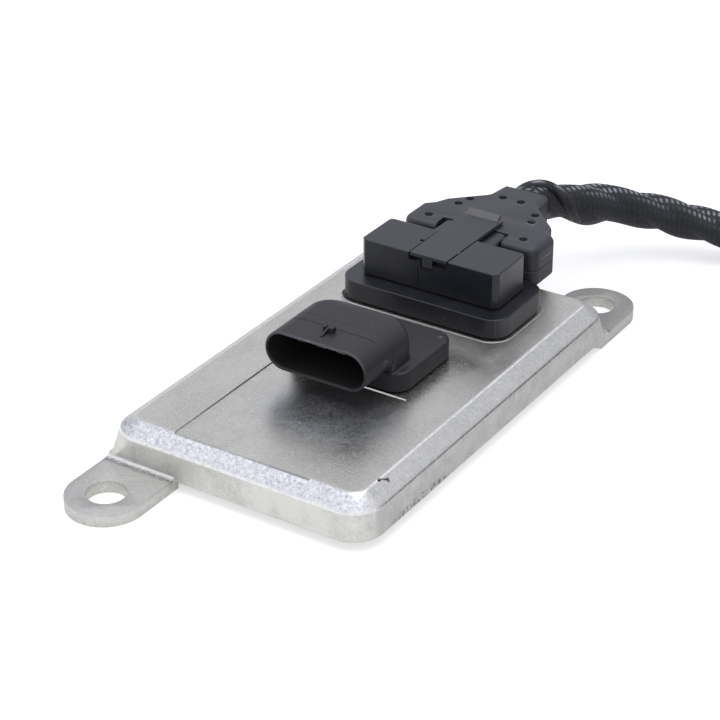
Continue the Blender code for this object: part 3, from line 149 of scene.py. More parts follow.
class ProbeSettings(bpy.types.PropertyGroup):
    """Sizes of the exhaust probe, along its own axis from the boot."""
    hex_flats: size("Hexagon", 0.0220, "Width across the hexagon's flats")
    hex_height: size("Hexagon height", 0.0080, "Height of the hexagon")
    thread_radius: size("Thread radius", 0.0097, "Outer radius of the thread")
    thread_pitch: size("Thread pitch", 0.0015, "Distance between the thread's turns")
    cap_holes: IntProperty(name="Cap holes", description="Holes in each row round a cap", default=6, min=3, max=12)
    steel: tint("Steel", (0.46, 0.44, 0.41), "Colour of the probe's steel")


def angle(name, default, text):
    """An angle in degrees that the user may change."""
    return FloatProperty(name=name, description=text + ", in degrees", default=default)


class StageSettings(bpy.types.PropertyGroup):
    """Camera and light."""
    azimuth: angle("Azimuth", 32.917, "Camera's direction round the sensor")
    elevation: angle("Elevation", 29.197, "Camera's height over the horizon")
    roll: angle("Roll", -0.264, "Camera's roll")
    lens: FloatProperty(name="Lens", description="Focal length in millimetres", default=105.63)
    place: FloatVectorProperty(name="Place", description="Camera's place", default=(0.21381, -0.33429, 0.23227),
                               size=3, subtype="XYZ")


SETTINGS = {
    "sensor_case": CaseSettings,
    "sensor_socket": SocketSettings,
    "sensor_plug": PlugSettings,
    "sensor_shell": ShellSettings,
    "sensor_lead": LeadSettings,
    "sensor_probe": ProbeSettings,
    "sensor_stage": StageSettings,
}


# Outlines are corner points, anticlockwise, with the radius at each corner


def rectangle(half_x, half_y, radius, x=0.0, y=0.0):
    """Outline of a rectangle with rounded corners."""
    corners = [(x - half_x, y - half_y), (x + half_x, y - half_y), (x + half_x, y + half_y), (x - half_x, y + half_y)]
    return corners, [radius] * 4


def grown(outline, distance):
    """The outline moved outwards by a distance, or inwards by a negative one."""
    corners, radii = outline
    moved = []
    new_radii = []
    for index, corner in enumerate(corners):
        here = Vector(corner)
        arriving = (here - Vector(corners[index - 1])).normalized()
        leaving = (Vector(corners[(index + 1) % len(corners)]) - here).normalized()
        out_before = Vector((arriving.y, -arriving.x))
        out_after = Vector((leaving.y, -leaving.x))
        moved.append(tuple(here + (out_before + out_after) * distance / (1 + out_before.dot(out_after))))
        turns_left = arriving.x * leaving.y - arriving.y * leaving.x > 0
        new_radii.append(max(radii[index] + (distance if turns_left else -distance), 0.00004))
    return moved, new_radii


def outline_points(outline, steps):
    """Points along an outline, with each corner as an arc."""
    corners, radii = outline
    points = []
    for index, corner in enumerate(corners):
        here = Vector(corner)
        to_before = (Vector(corners[index - 1]) - here).normalized()
        to_after = (Vector(corners[(index + 1) % len(corners)]) - here).normalized()
        half_angle = to_before.angle(to_after) / 2
        radius = radii[index]
        centre = here + (to_before + to_after).normalized() * radius / math.sin(half_angle)
        first = here + to_before * radius / math.tan(half_angle) - centre
        last = here + to_after * radius / math.tan(half_angle) - centre
        start = math.atan2(first.y, first.x)
        sweep = (math.atan2(last.y, last.x) - start + math.pi) % (2 * math.pi) - math.pi
        for step in range(steps + 1):
            angle = start + sweep * step / steps
            points.append((centre.x + radius * math.cos(angle), centre.y + radius * math.sin(angle)))
    return points


def eased(profile, steps=4, support=0.00006):
    """A profile of (offset, height, radius) points, with each radius as an arc and a close loop on either side."""
    points = []
    for index, (offset, height, radius) in enumerate(profile):
        here = Vector((offset, height))
        if radius == 0 or index in (0, len(profile) - 1):
            points.append(tuple(here))
            continue
        to_before = (Vector(profile[index - 1][:2]) - here).normalized()
        to_after = (Vector(profile[index + 1][:2]) - here).normalized()
        half_angle = to_before.angle(to_after) / 2
        reach = radius / math.tan(half_angle)
        centre = here + (to_before + to_after).normalized() * radius / math.sin(half_angle)
        first = here + to_before * reach - centre
        last = here + to_after * reach - centre
        start = math.atan2(first.y, first.x)
        sweep = (math.atan2(last.y, last.x) - start + math.pi) % (2 * math.pi) - math.pi
        points.append(tuple(here + to_before * (reach + support)))
        for step in range(steps + 1):
            angle = start + sweep * step / steps
            points.append((centre.x + radius * math.cos(angle), centre.y + radius * math.sin(angle)))
        points.append(tuple(here + to_after * (reach + support)))
    return points


def circle(radius, count, x=0.0, y=0.0):
    """Evenly spaced points round a circle."""
    angles = [2 * math.pi * index / count for index in range(count)]
    return [(x + radius * math.cos(turn), y + radius * math.sin(turn)) for turn in angles]


def quarter_turn(steps):
    """Sine and cosine at even steps over a quarter of a turn."""
    angles = [math.pi / 2 * step / steps for step in range(steps + 1)]
    return [(math.sin(turn), math.cos(turn)) for turn in angles]


def numbered(stem, count):
    """Names of a node that comes several times."""
    return [f"{stem}_{number}" for number in range(1, count + 1)]


# Meshes


def new_piece(name, bm, matrix=None):
    """Object from a bmesh, with its place in its mesh."""
    if matrix is not None:
        bmesh.ops.transform(bm, matrix=matrix, verts=bm.verts)
    bmesh.ops.remove_doubles(bm, verts=bm.verts, dist=1e-7)
    bmesh.ops.recalc_face_normals(bm, faces=bm.faces)
    mesh = bpy.data.meshes.new(name)
    bm.to_mesh(mesh)
    bm.free()
    piece = bpy.data.objects.new(name, mesh)
    bpy.context.scene.collection.objects.link(piece)
    return piece


def skin(bm, loops, closed=False):
    """Bridge loops of equal length, and cap the ends unless the loops close on themselves."""
    rings = [[bm.verts.new(point) for point in loop] for loop in loops]
    pairs = list(zip(rings, rings[1:]))
    if closed:
        pairs.append((rings[-1], rings[0]))
    for first, second in pairs:
        for index in range(len(first)):
            after = (index + 1) % len(first)
            bm.faces.new((first[index], first[after], second[after], second[index]))
    if not closed:
        bm.faces.new(reversed(rings[0]))
        bm.faces.new(rings[-1])


def stacked(name, layers, steps=10, closed=False, matrix=None):
    """Solid through a stack of outlines, each with its local height."""
    bm = bmesh.new()
    skin(bm, [[(x, y, z) for x, y in outline_points(outline, steps)] for outline, z in layers], closed)
    return new_piece(name, bm, matrix)


def lofted(name, outline, profile, steps=10, arc=4, closed=False, matrix=None):
    """Solid whose outline grows and shrinks along a profile of (offset, height, radius)."""
    layers = [(grown(outline, offset), height) for offset, height in eased(profile, arc)]
    return stacked(name, layers, steps, closed, matrix)


def turned(name, profile, steps=64, arc=4, matrix=None):
    """Solid made by turning a closed profile of (radius, height, rounding) about local Z."""
    padded = [profile[-1], *profile, profile[0]]
    bm = bmesh.new()
    rings = []
    for radius, height in eased(padded, arc)[1:-1]:
        if radius < 1e-6:
            rings.append([bm.verts.new((0, 0, height))] * steps)
            continue
        rings.append([bm.verts.new((x, y, height)) for x, y in circle(radius, steps)])
    for index, first in enumerate(rings):
        second = rings[(index + 1) % len(rings)]
        for step in range(steps):
            after = (step + 1) % steps
            corners = list(dict.fromkeys((first[step], first[after], second[after], second[step])))
            if len(corners) > 2:
                bm.faces.new(corners)
    return new_piece(name, bm, matrix)


def block(name, x_span, y_span, z_span, matrix=None):
    """A plain box, used to cut or to fuse."""
    bm = bmesh.new()
    corners = [(x_span[0], y_span[0]), (x_span[1], y_span[0]), (x_span[1], y_span[1]), (x_span[0], y_span[1])]
    skin(bm, [[(x, y, z) for x, y in corners] for z in z_span])
    return new_piece(name, bm, matrix)


def extruded(name, side, x_span):
    """A side view of (y, z) points drawn out along X."""
    bm = bmesh.new()
    skin(bm, [[(x, y, z) for y, z in side] for x in x_span])
    return new_piece(name, bm)


def clearance(node, z_span, y_span=None):
    """Cutter round a node's box, with the gap of seated pieces and its own heights."""
    low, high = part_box(node)
    y_span = y_span or (low.y - SEAT_GAP, high.y + SEAT_GAP)
    return block("clearance", (low.x - SEAT_GAP, high.x + SEAT_GAP), y_span, z_span)


def drill(name, place, radius, z_span, steps=32, flare=0.0, matrix=None):
    """A round cutter or plate, which may widen towards its upper end."""
    bm = bmesh.new()
    ends = ((z_span[0], radius), (z_span[1], radius + flare))
    skin(bm, [[(x, y, z) for x, y in circle(reach, steps, *place)] for z, reach in ends])
    return new_piece(name, bm, matrix)


def settle(piece):
    """Turn a piece with modifiers into a plain mesh."""
    bpy.context.view_layer.update()
    graph = bpy.context.evaluated_depsgraph_get()
    mesh = bpy.data.meshes.new_from_object(piece.evaluated_get(graph))
    piece.modifiers.clear()
    old = piece.data
    piece.data = mesh
    bpy.data.meshes.remove(old)
    mesh.name = piece.name
    return piece


def combined(piece, tools, operation):
    """Boolean of a piece with each tool, which is then removed."""
    for tool in tools:
        modifier = piece.modifiers.new(tool.name, "BOOLEAN")
        modifier.operation = operation
        modifier.solver = "EXACT"
        modifier.object = tool
    settle(piece)
    for tool in tools:
        mesh = tool.data
        bpy.data.objects.remove(tool)
        bpy.data.meshes.remove(mesh)
    return piece


def cut(piece, *tools):
    """Take each tool's volume out of a piece."""
    return combined(piece, tools, "DIFFERENCE")


def fuse(piece, *tools):
    """Add each tool's volume to a piece."""
    return combined(piece, tools, "UNION")


def soften(piece, width, segments=2, angle=50):
    """Round a piece's sharp edges."""
    modifier = piece.modifiers.new("soften", "BEVEL")
    modifier.width = width
    modifier.segments = segments
    modifier.limit_method = "ANGLE"
    modifier.angle_limit = math.radians(angle)
    modifier.use_clamp_overlap = True
    return settle(piece)


def present(piece, material, nodes=(), angle=30):
    """Shade a finished piece, give it its finish and hide the nodes it stands for."""
    mesh = piece.data
    mesh.shade_smooth()
    mesh.set_sharp_from_angle(angle=math.radians(angle))
    mesh.materials.clear()
    mesh.materials.append(material)
    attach(piece, "root")
    if nodes:
        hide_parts(*nodes)
    return piece


# Node trees


def set_input(tree, socket, value):
    """Link an output to a socket, or set the socket's own value."""
    if isinstance(value, bpy.types.NodeSocket):
        tree.links.new(value, socket)
    else:
        socket.default_value = value


def add_node(tree, kind, inputs, settings):
    """Add a node, set its options, and set or link its inputs."""
    item = tree.nodes.new(kind)
    for name, value in settings.items():
        setattr(item, name, value)
    for name, value in (inputs or {}).items():
        set_input(tree, item.inputs[name], value)
    return item


def socket_name(keyword):
    """A socket's name from its keyword: first_row stands for First row."""
    return keyword.replace("_", " ").capitalize()


class Shading:
    """Short way to add and join the nodes of one shader tree."""

    def __init__(self, tree):
        self.tree = tree

    def node(self, kind, inputs=None, **settings):
        """Add a shader node with its options and inputs."""
        return add_node(self.tree, "ShaderNode" + kind, inputs, settings)

    def math(self, operation, first, second=0.5, clamp=False):
        """Result of a Math node."""
        return self.node("Math", {0: first, 1: second}, operation=operation, use_clamp=clamp).outputs[0]

    def times(self, first, *others):
        """Product of values."""
        for other in others:
            first = self.math("MULTIPLY", first, other)
        return first

    def total(self, first, *others):
        """Sum of values."""
        for other in others:
            first = self.math("ADD", first, other)
        return first

    def fade(self, value, low, high, start=0.0, end=1.0):
        """A value that goes smoothly from start to end between two limits."""
        inputs = {"Value": value, "From Min": low, "From Max": high, "To Min": start, "To Max": end}
        return self.node("MapRange", inputs, interpolation_type="SMOOTHSTEP").outputs["Result"]

    def mix(self, factor, first, second):
        """Result of mixing two colours."""
        return self.node("Mix", {0: factor, 6: first, 7: second}, data_type="RGBA").outputs[2]

    def over(self, base, colour, *weights):
        """A colour laid over the base by the product of its weights."""
        return self.mix(self.times(*weights), base, colour)

    def noise(self, vector, scale, detail=3.0, roughness=0.55, distortion=0.0):
        """Noise value at a scale in turns per metre."""
        inputs = {"Vector": vector, "Scale": scale, "Detail": detail, "Roughness": roughness, "Distortion": distortion}
        return self.node("TexNoise", inputs).outputs["Fac"]

    def object_place(self):
        """The point in the object's own space, and its three parts."""
        place = self.node("TexCoord").outputs["Object"]
        parts = self.node("SeparateXYZ", {0: place}).outputs
        return place, parts["X"], parts["Y"], parts["Z"]

    def facing(self, axis):
        """How far the surface faces along an axis."""
        return self.node("SeparateXYZ", {0: self.node("NewGeometry").outputs["Normal"]}).outputs[axis]

    def group(self, tree, **inputs):
        """Place a node group, set its inputs by name, and give its outputs."""
        item = self.node("Group", None, node_tree=tree)
        for name, value in inputs.items():
            set_input(self.tree, item.inputs[socket_name(name)], value)
        return item.outputs


def new_group(name, inputs, outputs):
    """Empty shader node group with float inputs and outputs, and its shading helper."""
    tree = bpy.data.node_groups.new(name, "ShaderNodeTree")
    for socket, default in inputs:
        tree.interface.new_socket(socket, in_out="INPUT", socket_type="NodeSocketFloat").default_value = default
    for socket in outputs:
        tree.interface.new_socket(socket, in_out="OUTPUT", socket_type="NodeSocketFloat")
    source = tree.nodes.new("NodeGroupInput").outputs
    sink = tree.nodes.new("NodeGroupOutput").inputs
    return Shading(tree), source, sink


def speckle_group():
    """Cast or blasted surface: fine grains over soft clouds."""
    name = "Speckle"
    if name in bpy.data.node_groups:
        return bpy.data.node_groups[name]
    inputs = (("Grain", 3000.0), ("Cloud", 120.0), ("Contrast", 1.0))
    s, source, sink = new_group(name, inputs, ("Grains", "Clouds", "Height"))
    place = s.node("TexCoord").outputs["Object"]
    fine = s.noise(place, source["Grain"], 4.0, 0.7)
    coarse = s.noise(place, s.times(source["Grain"], 0.31), 3.0, 0.6)
    both = s.total(s.times(fine, 0.6), s.times(coarse, 0.4))
    spread = s.times(s.math("SUBTRACT", both, 0.5), s.times(source["Contrast"], 4.0))
    clouds = s.fade(s.noise(place, source["Cloud"], 5.0, 0.6, 0.4), 0.32, 0.68)
    s.tree.links.new(s.math("ADD", spread, 0.5, clamp=True), sink["Grains"])
    s.tree.links.new(clouds, sink["Clouds"])
    s.tree.links.new(both, sink["Height"])
    return s.tree


def scratch_group():
    """Sparse fine scratches that run in several directions."""
    name = "Scratches"
    if name in bpy.data.node_groups:
        return bpy.data.node_groups[name]
    s, source, sink = new_group(name, (("Fineness", 3000.0), ("Amount", 0.5)), ("Mask",))
    place = s.node("TexCoord").outputs["Object"]
    fineness = source["Fineness"]
    total = 0.0
    for number, angle in enumerate((0.45, 1.25, 2.45)):
        turned_place = s.node("Mapping", {"Vector": place, "Rotation": (0.0, 0.0, angle)}).outputs[0]
        stretch = s.node("CombineXYZ", {0: s.times(fineness, 0.022), 1: fineness, 2: fineness}).outputs[0]
        drawn = s.node("VectorMath", {0: turned_place, 1: stretch}, operation="MULTIPLY").outputs[0]
        line = s.fade(s.noise(drawn, 1.0, 1.0, 0.4), 0.69, 0.77)
        patchy = s.fade(s.noise(place, 70.0 + 31.0 * number, 3.0), 0.50, 0.66)
        total = s.math("MAXIMUM", total, s.times(line, patchy))
    s.tree.links.new(s.times(total, source["Amount"]), sink["Mask"])
    return s.tree


def band_group():
    """Soft band of height: one between two limits, and zero away from them."""
    name = "Height band"
    if name in bpy.data.node_groups:
        return bpy.data.node_groups[name]
    s, source, sink = new_group(name, (("Low", 0.0), ("High", 1.0), ("Softness", 0.0002)), ("Mask",))
    height = s.object_place()[3]
    soft = source["Softness"]
    rise, fall = (s.fade(height, s.math("SUBTRACT", source[end], soft), s.math("ADD", source[end], soft))
                  for end in ("Low", "High"))
    s.tree.links.new(s.math("SUBTRACT", rise, fall), sink["Mask"])
    return s.tree


def height_band(s, low, high, softness):
    """Mask of a soft band of height."""
    return s.group(band_group(), low=low, high=high, softness=softness)["Mask"]


# Finishes


def finish_called(name):
    """A finish made earlier, or None; the prefix keeps it apart from the solids' own plain materials."""
    return bpy.data.materials.get("visual_" + name)


def new_material(name):
    """Material with a Principled BSDF, and its shading helper."""
    material = bpy.data.materials.new("visual_" + name)
    material.use_nodes = True
    return material, Shading(material.node_tree), material.node_tree.nodes["Principled BSDF"]


def rgba(colour, gain=1.0):
    """Colour with alpha, made lighter or darker."""
    return (*[min(channel * gain, 1.0) for channel in colour], 1.0)


def cool_grey(level):
    """A grey with a little more blue, as dust and scuffs have."""
    return rgba((level, level, level * 1.03))


def add_finish(s, shader, colour, roughness, metallic=0.0):
    """Feed a colour and a roughness to the shader."""
    s.tree.links.new(colour, shader.inputs["Base Color"])
    s.tree.links.new(roughness, shader.inputs["Roughness"])
    shader.inputs["Metallic"].default_value = metallic


def add_bump(s, shader, height, strength, distance):
    """Feed a height to the shader's normal."""
    bump = s.node("Bump", {"Height": height, "Strength": strength, "Distance": distance})
    s.tree.links.new(bump.outputs[0], shader.inputs["Normal"])


def near(s, place, radius, stretch=(1.0, 1.0, 1.0)):
    """Mask that is one at a place and falls to zero at a radius."""
    where = s.node("TexCoord").outputs["Object"]
    offset = s.node("VectorMath", {0: where, 1: place}, operation="SUBTRACT").outputs[0]
    scaled = s.node("VectorMath", {0: offset, 1: stretch}, operation="MULTIPLY").outputs[0]
    distance = s.node("VectorMath", {0: scaled}, operation="LENGTH").outputs["Value"]
    return s.fade(distance, radius * 0.5, radius, 1.0, 0.0)


# Places and radii that make up the nick in the case's front right corner
NICK = (
    ((0.0280, -0.0406, 0.0113), 0.00042), ((0.0278, -0.0402, 0.0114), 0.00030), ((0.0280, -0.0401, 0.0112), 0.00032),
    ((0.0282, -0.0397, 0.0110), 0.00026), ((0.0284, -0.0394, 0.0109), 0.00030), ((0.0286, -0.0390, 0.0107), 0.00034),
    ((0.0287, -0.0386, 0.0107), 0.00034), ((0.0290, -0.0388, 0.0105), 0.00040),
)

# Half the width over which the bevel's look fades in
BEVEL_BLUR = 0.0005


class CaseMasks:
    """Where the faces of the cast case are, as masks and distances."""

    def __init__(self, s, case):
        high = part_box("housing")[1]
        self.place, self.x, self.y, self.z = s.object_place()
        self.right = high.x
        self.top = high.z
        self.side_x = high.x - case.bevel
        self.side_y = case.length / 2 - case.bevel
        self.from_middle_x = s.math("ABSOLUTE", self.x)
        from_middle_y = s.math("ABSOLUTE", self.y)
        outside = s.math("MAXIMUM", *(s.fade(distance, side - BEVEL_BLUR, side + BEVEL_BLUR) for distance, side in
                                      ((self.from_middle_x, self.side_x), (from_middle_y, self.side_y))))
        self.bevel = s.times(height_band(s, case.shoulder + 0.0002, high.z + OVERRUN, 0.00030), outside)
        self.shoulder = height_band(s, case.shoulder - 0.00035, case.shoulder + 0.00015, 0.00014)
        self.wall = height_band(s, -OVERRUN, case.shoulder - 0.0004, 0.0003)
        self.as_cast = s.math("MAXIMUM", self.bevel, self.wall)
        self.past_wall = s.math("SUBTRACT", from_middle_y, case.length / 2)
        self.ear_top = s.times(s.fade(self.past_wall, 0.0001, 0.0004),
                               s.fade(self.z, case.ear_thickness - 0.0003, case.ear_thickness - 0.0001))
        self.broken = s.fade(s.noise(self.place, 800.0, 3.0), 0.30, 0.60, 0.35, 1.0)


def cast_grain(s, where, metal, fine, patches):
    """Mottled grain of the casting, darker on the bevel and darkest on its front."""
    base = s.mix(fine["Clouds"], rgba(metal, 0.93), rgba(metal, 1.07))
    base = s.over(base, rgba((0.62, 0.60, 0.56)), patches["Clouds"], 0.35)
    base = s.over(base, rgba(metal, 0.70), patches["Grains"], 0.34)
    base = s.over(base, rgba(metal, 1.30), fine["Grains"], 0.55)
    bevel_grain = s.fade(s.noise(where.place, 1500.0, 4.0, 0.75), 0.34, 0.66)
    dark = s.mix(bevel_grain, rgba((0.22, 0.235, 0.27)), rgba((0.62, 0.63, 0.66)))
    dark = s.over(dark, rgba((0.92, 0.93, 0.95)), fine["Grains"], 0.45)
    front = s.fade(where.y, -where.side_y - BEVEL_BLUR, -where.side_y + 0.002, 0.85, 0.30)
    return s.over(base, dark, where.bevel, front)


def wall_tones(s, where, base, patches):
    """Tones of the upright walls: grey at the right, and warm patches in front."""
    flank = s.times(where.wall, s.fade(where.x, where.right - 0.0006, where.right - 0.0001))
    base = s.over(base, s.mix(patches["Clouds"], rgba((0.50, 0.50, 0.48)), rgba((0.60, 0.59, 0.56))), flank)
    base = s.over(base, rgba((0.42, 0.42, 0.41)), where.wall, patches["Grains"], 0.30)
    front = s.fade(where.y, -where.side_y - 0.003, -where.side_y, 1.0, 0.0)
    warm = s.times(where.wall, front, s.fade(s.noise(where.place, 110.0, 4.0, 0.6), 0.42, 0.62))
    off_ear = s.math("SUBTRACT", warm, s.fade(where.past_wall, 0.0004, 0.0009), clamp=True)
    return s.over(base, rgba((0.80, 0.79, 0.74)), off_ear, 0.7)


def ear_tones(s, where, base):
    """Greyer ears, with painted shade as a dark strip along the wall and a painted highlight as a pale line in the
    crease.
    """
    base = s.over(base, rgba((0.42, 0.42, 0.41)), where.ear_top, 0.45)
    # Painted shade: a dark, broken strip on the ear's top along the wall
    strip = s.times(s.fade(where.past_wall, 0.0002, 0.0005), s.fade(where.past_wall, 0.0012, 0.0021, 1.0, 0.0))
    patchy = s.fade(s.noise(where.place, 1500.0, 3.0, 0.7), 0.36, 0.60, 0.25, 1.0)
    base = s.over(base, rgba((0.20, 0.21, 0.24)), strip, where.ear_top, patchy, 0.75)
    # Painted highlight: a pale line in the crease between the ear and the wall
    crease = s.times(s.fade(where.past_wall, 0.00002, 0.0001), s.fade(where.past_wall, 0.0002, 0.0003, 1.0, 0.0))
    return s.over(base, rgba((0.97, 0.97, 0.96)), crease, 0.4)


def edge_wear_and_highlight(s, where, base):
    """Edges along the shoulder and where the bevel meets the top, bright with wear and painted highlight."""
    # Painted highlight on the shoulder: near white along the front, darker grey along the sides, broken up like wear
    beside = s.fade(where.y, -where.side_y, -where.side_y + 0.004)
    highlight_and_wear = s.mix(beside, rgba((0.95, 0.95, 0.94)), rgba((0.40, 0.40, 0.40)))
    base = s.over(base, highlight_and_wear, where.shoulder, where.broken)
    # Painted highlight on the ridge where the bevel meets the top, broken up like wear
    off_ridge = s.math("ABSOLUTE", s.math("SUBTRACT", where.from_middle_x, where.side_x + 0.0001))
    ridge = s.fade(off_ridge, 0.00010, 0.00026, 1.0, 0.0)
    near_top = s.fade(where.z, where.top - 0.0005, where.top - 0.0003)
    return s.over(base, rgba((0.95, 0.95, 0.96)), ridge, near_top, where.broken)


def recess_shadow_and_highlight_lines(s, where, base, recess_width):
    """A painted shadow line and a painted highlight line along the right edge of the label recess."""
    on_top = s.fade(where.z, where.top - 0.0004, where.top - 0.0002)
    in_front = s.fade(where.y, -0.0115, -0.0113, 1.0, 0.0)
    # A painted shadow line at the edge, then a painted highlight line just inside it: shift, weight, grey
    for shift, weight, grey in ((0.0, 0.55, 0.22), (-0.00028, 0.40, 0.95)):
        away = s.math("ABSOLUTE", s.math("SUBTRACT", where.x, recess_width / 2 + shift))
        line = s.fade(away, 0.00006, 0.00016, weight, 0.0)
        base = s.over(base, cool_grey(grey), line, where.broken, on_top, in_front)
    return base


def case_marks(s, where, base):
    """The black nick in the front corner, and a broken dark band low on the front part of the right wall."""
    ragged = s.fade(s.noise(where.place, 1100.0, 4.0, 0.65), 0.48, 0.60)
    nick = 0.0
    for spot, radius in NICK:
        nick = s.math("MAXIMUM", nick, near(s, spot, radius, (1.0, 0.8, 0.8)))
    base = s.over(base, rgba((0.012, 0.012, 0.014)), nick, s.fade(ragged, 0.0, 0.3, 0.75, 1.0))
    # A broken dark band low on the right wall
    low_dark_band = near(s, (0.0315, -0.0300, 0.0028), 0.0130, (1.0, 1.0, 8.0))
    return s.over(base, rgba((0.14, 0.14, 0.15)), low_dark_band, ragged)


def cast_metal(case):
    """Cast aluminium: mottled faces, darker granular bevels, edges bright with wear and painted highlight, painted
    shade and highlights at the ears and the label recess, a painted reflection in front of the socket, a few nicks.
    """
    material, s, shader = new_material("cast_aluminium")
    where = CaseMasks(s, case)
    fine = s.group(speckle_group(), grain=3900.0, cloud=75.0, contrast=1.1)
    patches = s.group(speckle_group(), grain=1500.0, cloud=260.0, contrast=1.0)
    base = cast_grain(s, where, case.metal, fine, patches)
    base = wall_tones(s, where, base, patches)
    base = ear_tones(s, where, base)
    base = edge_wear_and_highlight(s, where, base)
    scratches = s.group(scratch_group(), fineness=3200.0, amount=0.60)["Mask"]
    base = s.over(base, rgba((0.92, 0.92, 0.92)), scratches)
    dark_lines = s.group(scratch_group(), fineness=2100.0, amount=0.35)["Mask"]
    base = s.over(base, rgba((0.30, 0.30, 0.31)), dark_lines, 0.4)
    base = s.over(base, rgba((0.25, 0.25, 0.25)), s.fade(s.noise(where.place, 1300.0, 2.0, 0.5), 0.72, 0.78), 0.35)
    sparks = s.fade(s.noise(where.place, 2900.0, 1.0, 0.5), 0.69, 0.75)
    base = s.over(base, rgba((1.0, 1.0, 1.0)), sparks, 0.85)
    base = recess_shadow_and_highlight_lines(s, where, base, case.recess_width)
    base = s.over(base, rgba((0.30, 0.31, 0.33)), s.fade(where.z, where.top + 0.00002, where.top + 0.00008, 0.0, 0.75))
    # Painted reflection: in front of the socket, where its dark reflection lies on the top, the colour turns lighter
    # and bluish, with white grains as painted glints
    shade = near(s, (0.0060, -0.0240, where.top), 0.0170, (0.9, 1.2, 1.0))
    reflection_glints = s.times(shade, s.fade(s.noise(where.place, 5600.0, 1.0, 0.5), 0.60, 0.70))
    base = s.over(base, rgba((0.70, 0.725, 0.785)), shade, 0.6)
    base = s.over(base, rgba((1.0, 1.0, 1.0)), reflection_glints, 0.5)
    base = case_marks(s, where, base)
    pad = s.times(s.fade(where.from_middle_x, 0.0225, 0.0275, 1.0, 0.0), s.fade(where.y, 0.008, 0.013))
    rough = s.total(0.23, s.times(pad, 0.12), s.times(fine["Clouds"], 0.05), s.times(patches["Grains"], 0.08),
                    s.times(where.as_cast, 0.12), s.times(sparks, 0.45), s.times(reflection_glints, 0.20), s.times(shade, 0.035))
    add_finish(s, shader, base, rough, metallic=1.0)
    height = s.total(fine["Height"], s.times(patches["Height"], where.as_cast))
    height = s.times(height, s.total(0.28, s.times(where.as_cast, 0.5)))
    height = s.math("SUBTRACT", height, s.times(s.total(scratches, dark_lines), 0.06))
    add_bump(s, shader, height, 0.55, 0.00020)
    return material


def moulded_plastic(name, colour, roughness, grain=2600.0, bump=0.25, scuff=0.4, marks=(),
                    painted_sheen=("Z", 0.2, 0.9, 0.30, 0.60)):
    """Moulded plastic: fine grain, faint clouds, light scuffs and marks.

    A mark is its place, radius, stretch and grey, and whether it is broken up. The painted sheen is an axis, two limits
    of how far a face looks along it, and the specular level at each limit: painted sheen and shade by the way a face
    looks.
    """
    if finish_called(name):
        return finish_called(name)
    material, s, shader = new_material(name)
    place = s.node("TexCoord").outputs["Object"]
    speckle = s.group(speckle_group(), grain=grain, cloud=140.0, contrast=0.7)
    scratches = s.group(scratch_group(), fineness=3600.0, amount=scuff)["Mask"]
    base = s.mix(speckle["Clouds"], rgba(colour, 0.86), rgba(colour, 1.16))
    base = s.over(base, rgba(colour, 1.7), speckle["Grains"], 0.18)
    flecks = s.fade(s.noise(place, 1500.0, 2.0, 0.5), 0.76, 0.82)
    base = s.over(base, rgba((0.24, 0.24, 0.25)), s.math("MAXIMUM", scratches, flecks), 0.45)
    ragged = s.fade(s.noise(place, 2600.0, 3.0, 0.6), 0.50, 0.62)
    for spot, radius, stretch, grey, broken in marks:
        mask = near(s, spot, radius, stretch)
        base = s.over(base, cool_grey(grey), *((mask, ragged) if broken else (mask,)))
    add_finish(s, shader, base, s.total(roughness - 0.05, s.times(speckle["Clouds"], 0.10)))
    # Painted sheen and shade: the specular level follows which way a face looks
    axis, *limits = painted_sheen
    s.tree.links.new(s.fade(s.facing(axis), *limits), shader.inputs["Specular IOR Level"])
    add_bump(s, shader, speckle["Height"], bump, 0.00012)
    return material


def charcoal(context):
    """The matt plastic of the vehicle header, with painted shade inside the socket and a painted highlight on its rim.
    """
    name = "charcoal_plastic"
    if finish_called(name):
        return finish_called(name)
    socket = context.scene.sensor_socket
    marks = (
        # The first mark is a painted highlight along the top edge of the mouth
        ((0.0, -0.0211, 0.0240), 0.00060, (0.06, 1.0, 1.0), 0.40, True),
        ((0.0126, -0.0113, 0.0180), 0.0016, (1.0, 0.9, 0.8), 0.10, True),
        ((0.0126, -0.0138, 0.0202), 0.0010, (1.0, 0.9, 0.8), 0.08, True),
        ((0.0125, 0.0080, 0.0160), 0.0009, (1.0, 1.0, 1.0), 0.16, True),
    )
    material = moulded_plastic(name, socket.plastic, 0.50, marks=marks)
    s = Shading(material.node_tree)
    shader = material.node_tree.nodes["Principled BSDF"]
    base, level = shader.inputs["Base Color"], shader.inputs["Specular IOR Level"]
    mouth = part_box("vehicle_header")[0].y
    _, x, y, z = s.object_place()
    # Painted highlight: a pale ring on the mouth's rim, strongest on its upper half
    rim = s.times(s.fade(y, mouth + 0.00010, mouth + 0.00030, 0.55, 0.0),
                  s.fade(z, socket.middle, socket.middle + 0.0035, 0.12, 1.0))
    colour = s.over(base.links[0].from_socket, rgba((0.11, 0.11, 0.12)), rim)
    # Painted shade inside the socket: an even near-black colour without flecks, and no specular reflection
    beyond = s.math("MAXIMUM", s.math("SUBTRACT", s.math("ABSOLUTE", x), (socket.width - socket.height) / 2), 0.0)
    lift = s.math("SUBTRACT", z, socket.middle)
    reach = s.math("SQRT", s.total(s.times(beyond, beyond), s.times(lift, lift)))
    bore = socket.height / 2 - socket.wall
    inside = s.times(s.fade(reach, bore + 0.0002, bore + 0.0004, 1.0, 0.0), s.fade(y, mouth + 0.0002, mouth + 0.0007),
                     s.fade(y, mouth + 0.0140, mouth + 0.0142, 1.0, 0.0))
    s.tree.links.new(s.over(colour, rgba((0.016, 0.016, 0.016)), inside), base)
    s.tree.links.new(s.times(level.links[0].from_socket, s.math("SUBTRACT", 1.0, inside)), level)
    return material


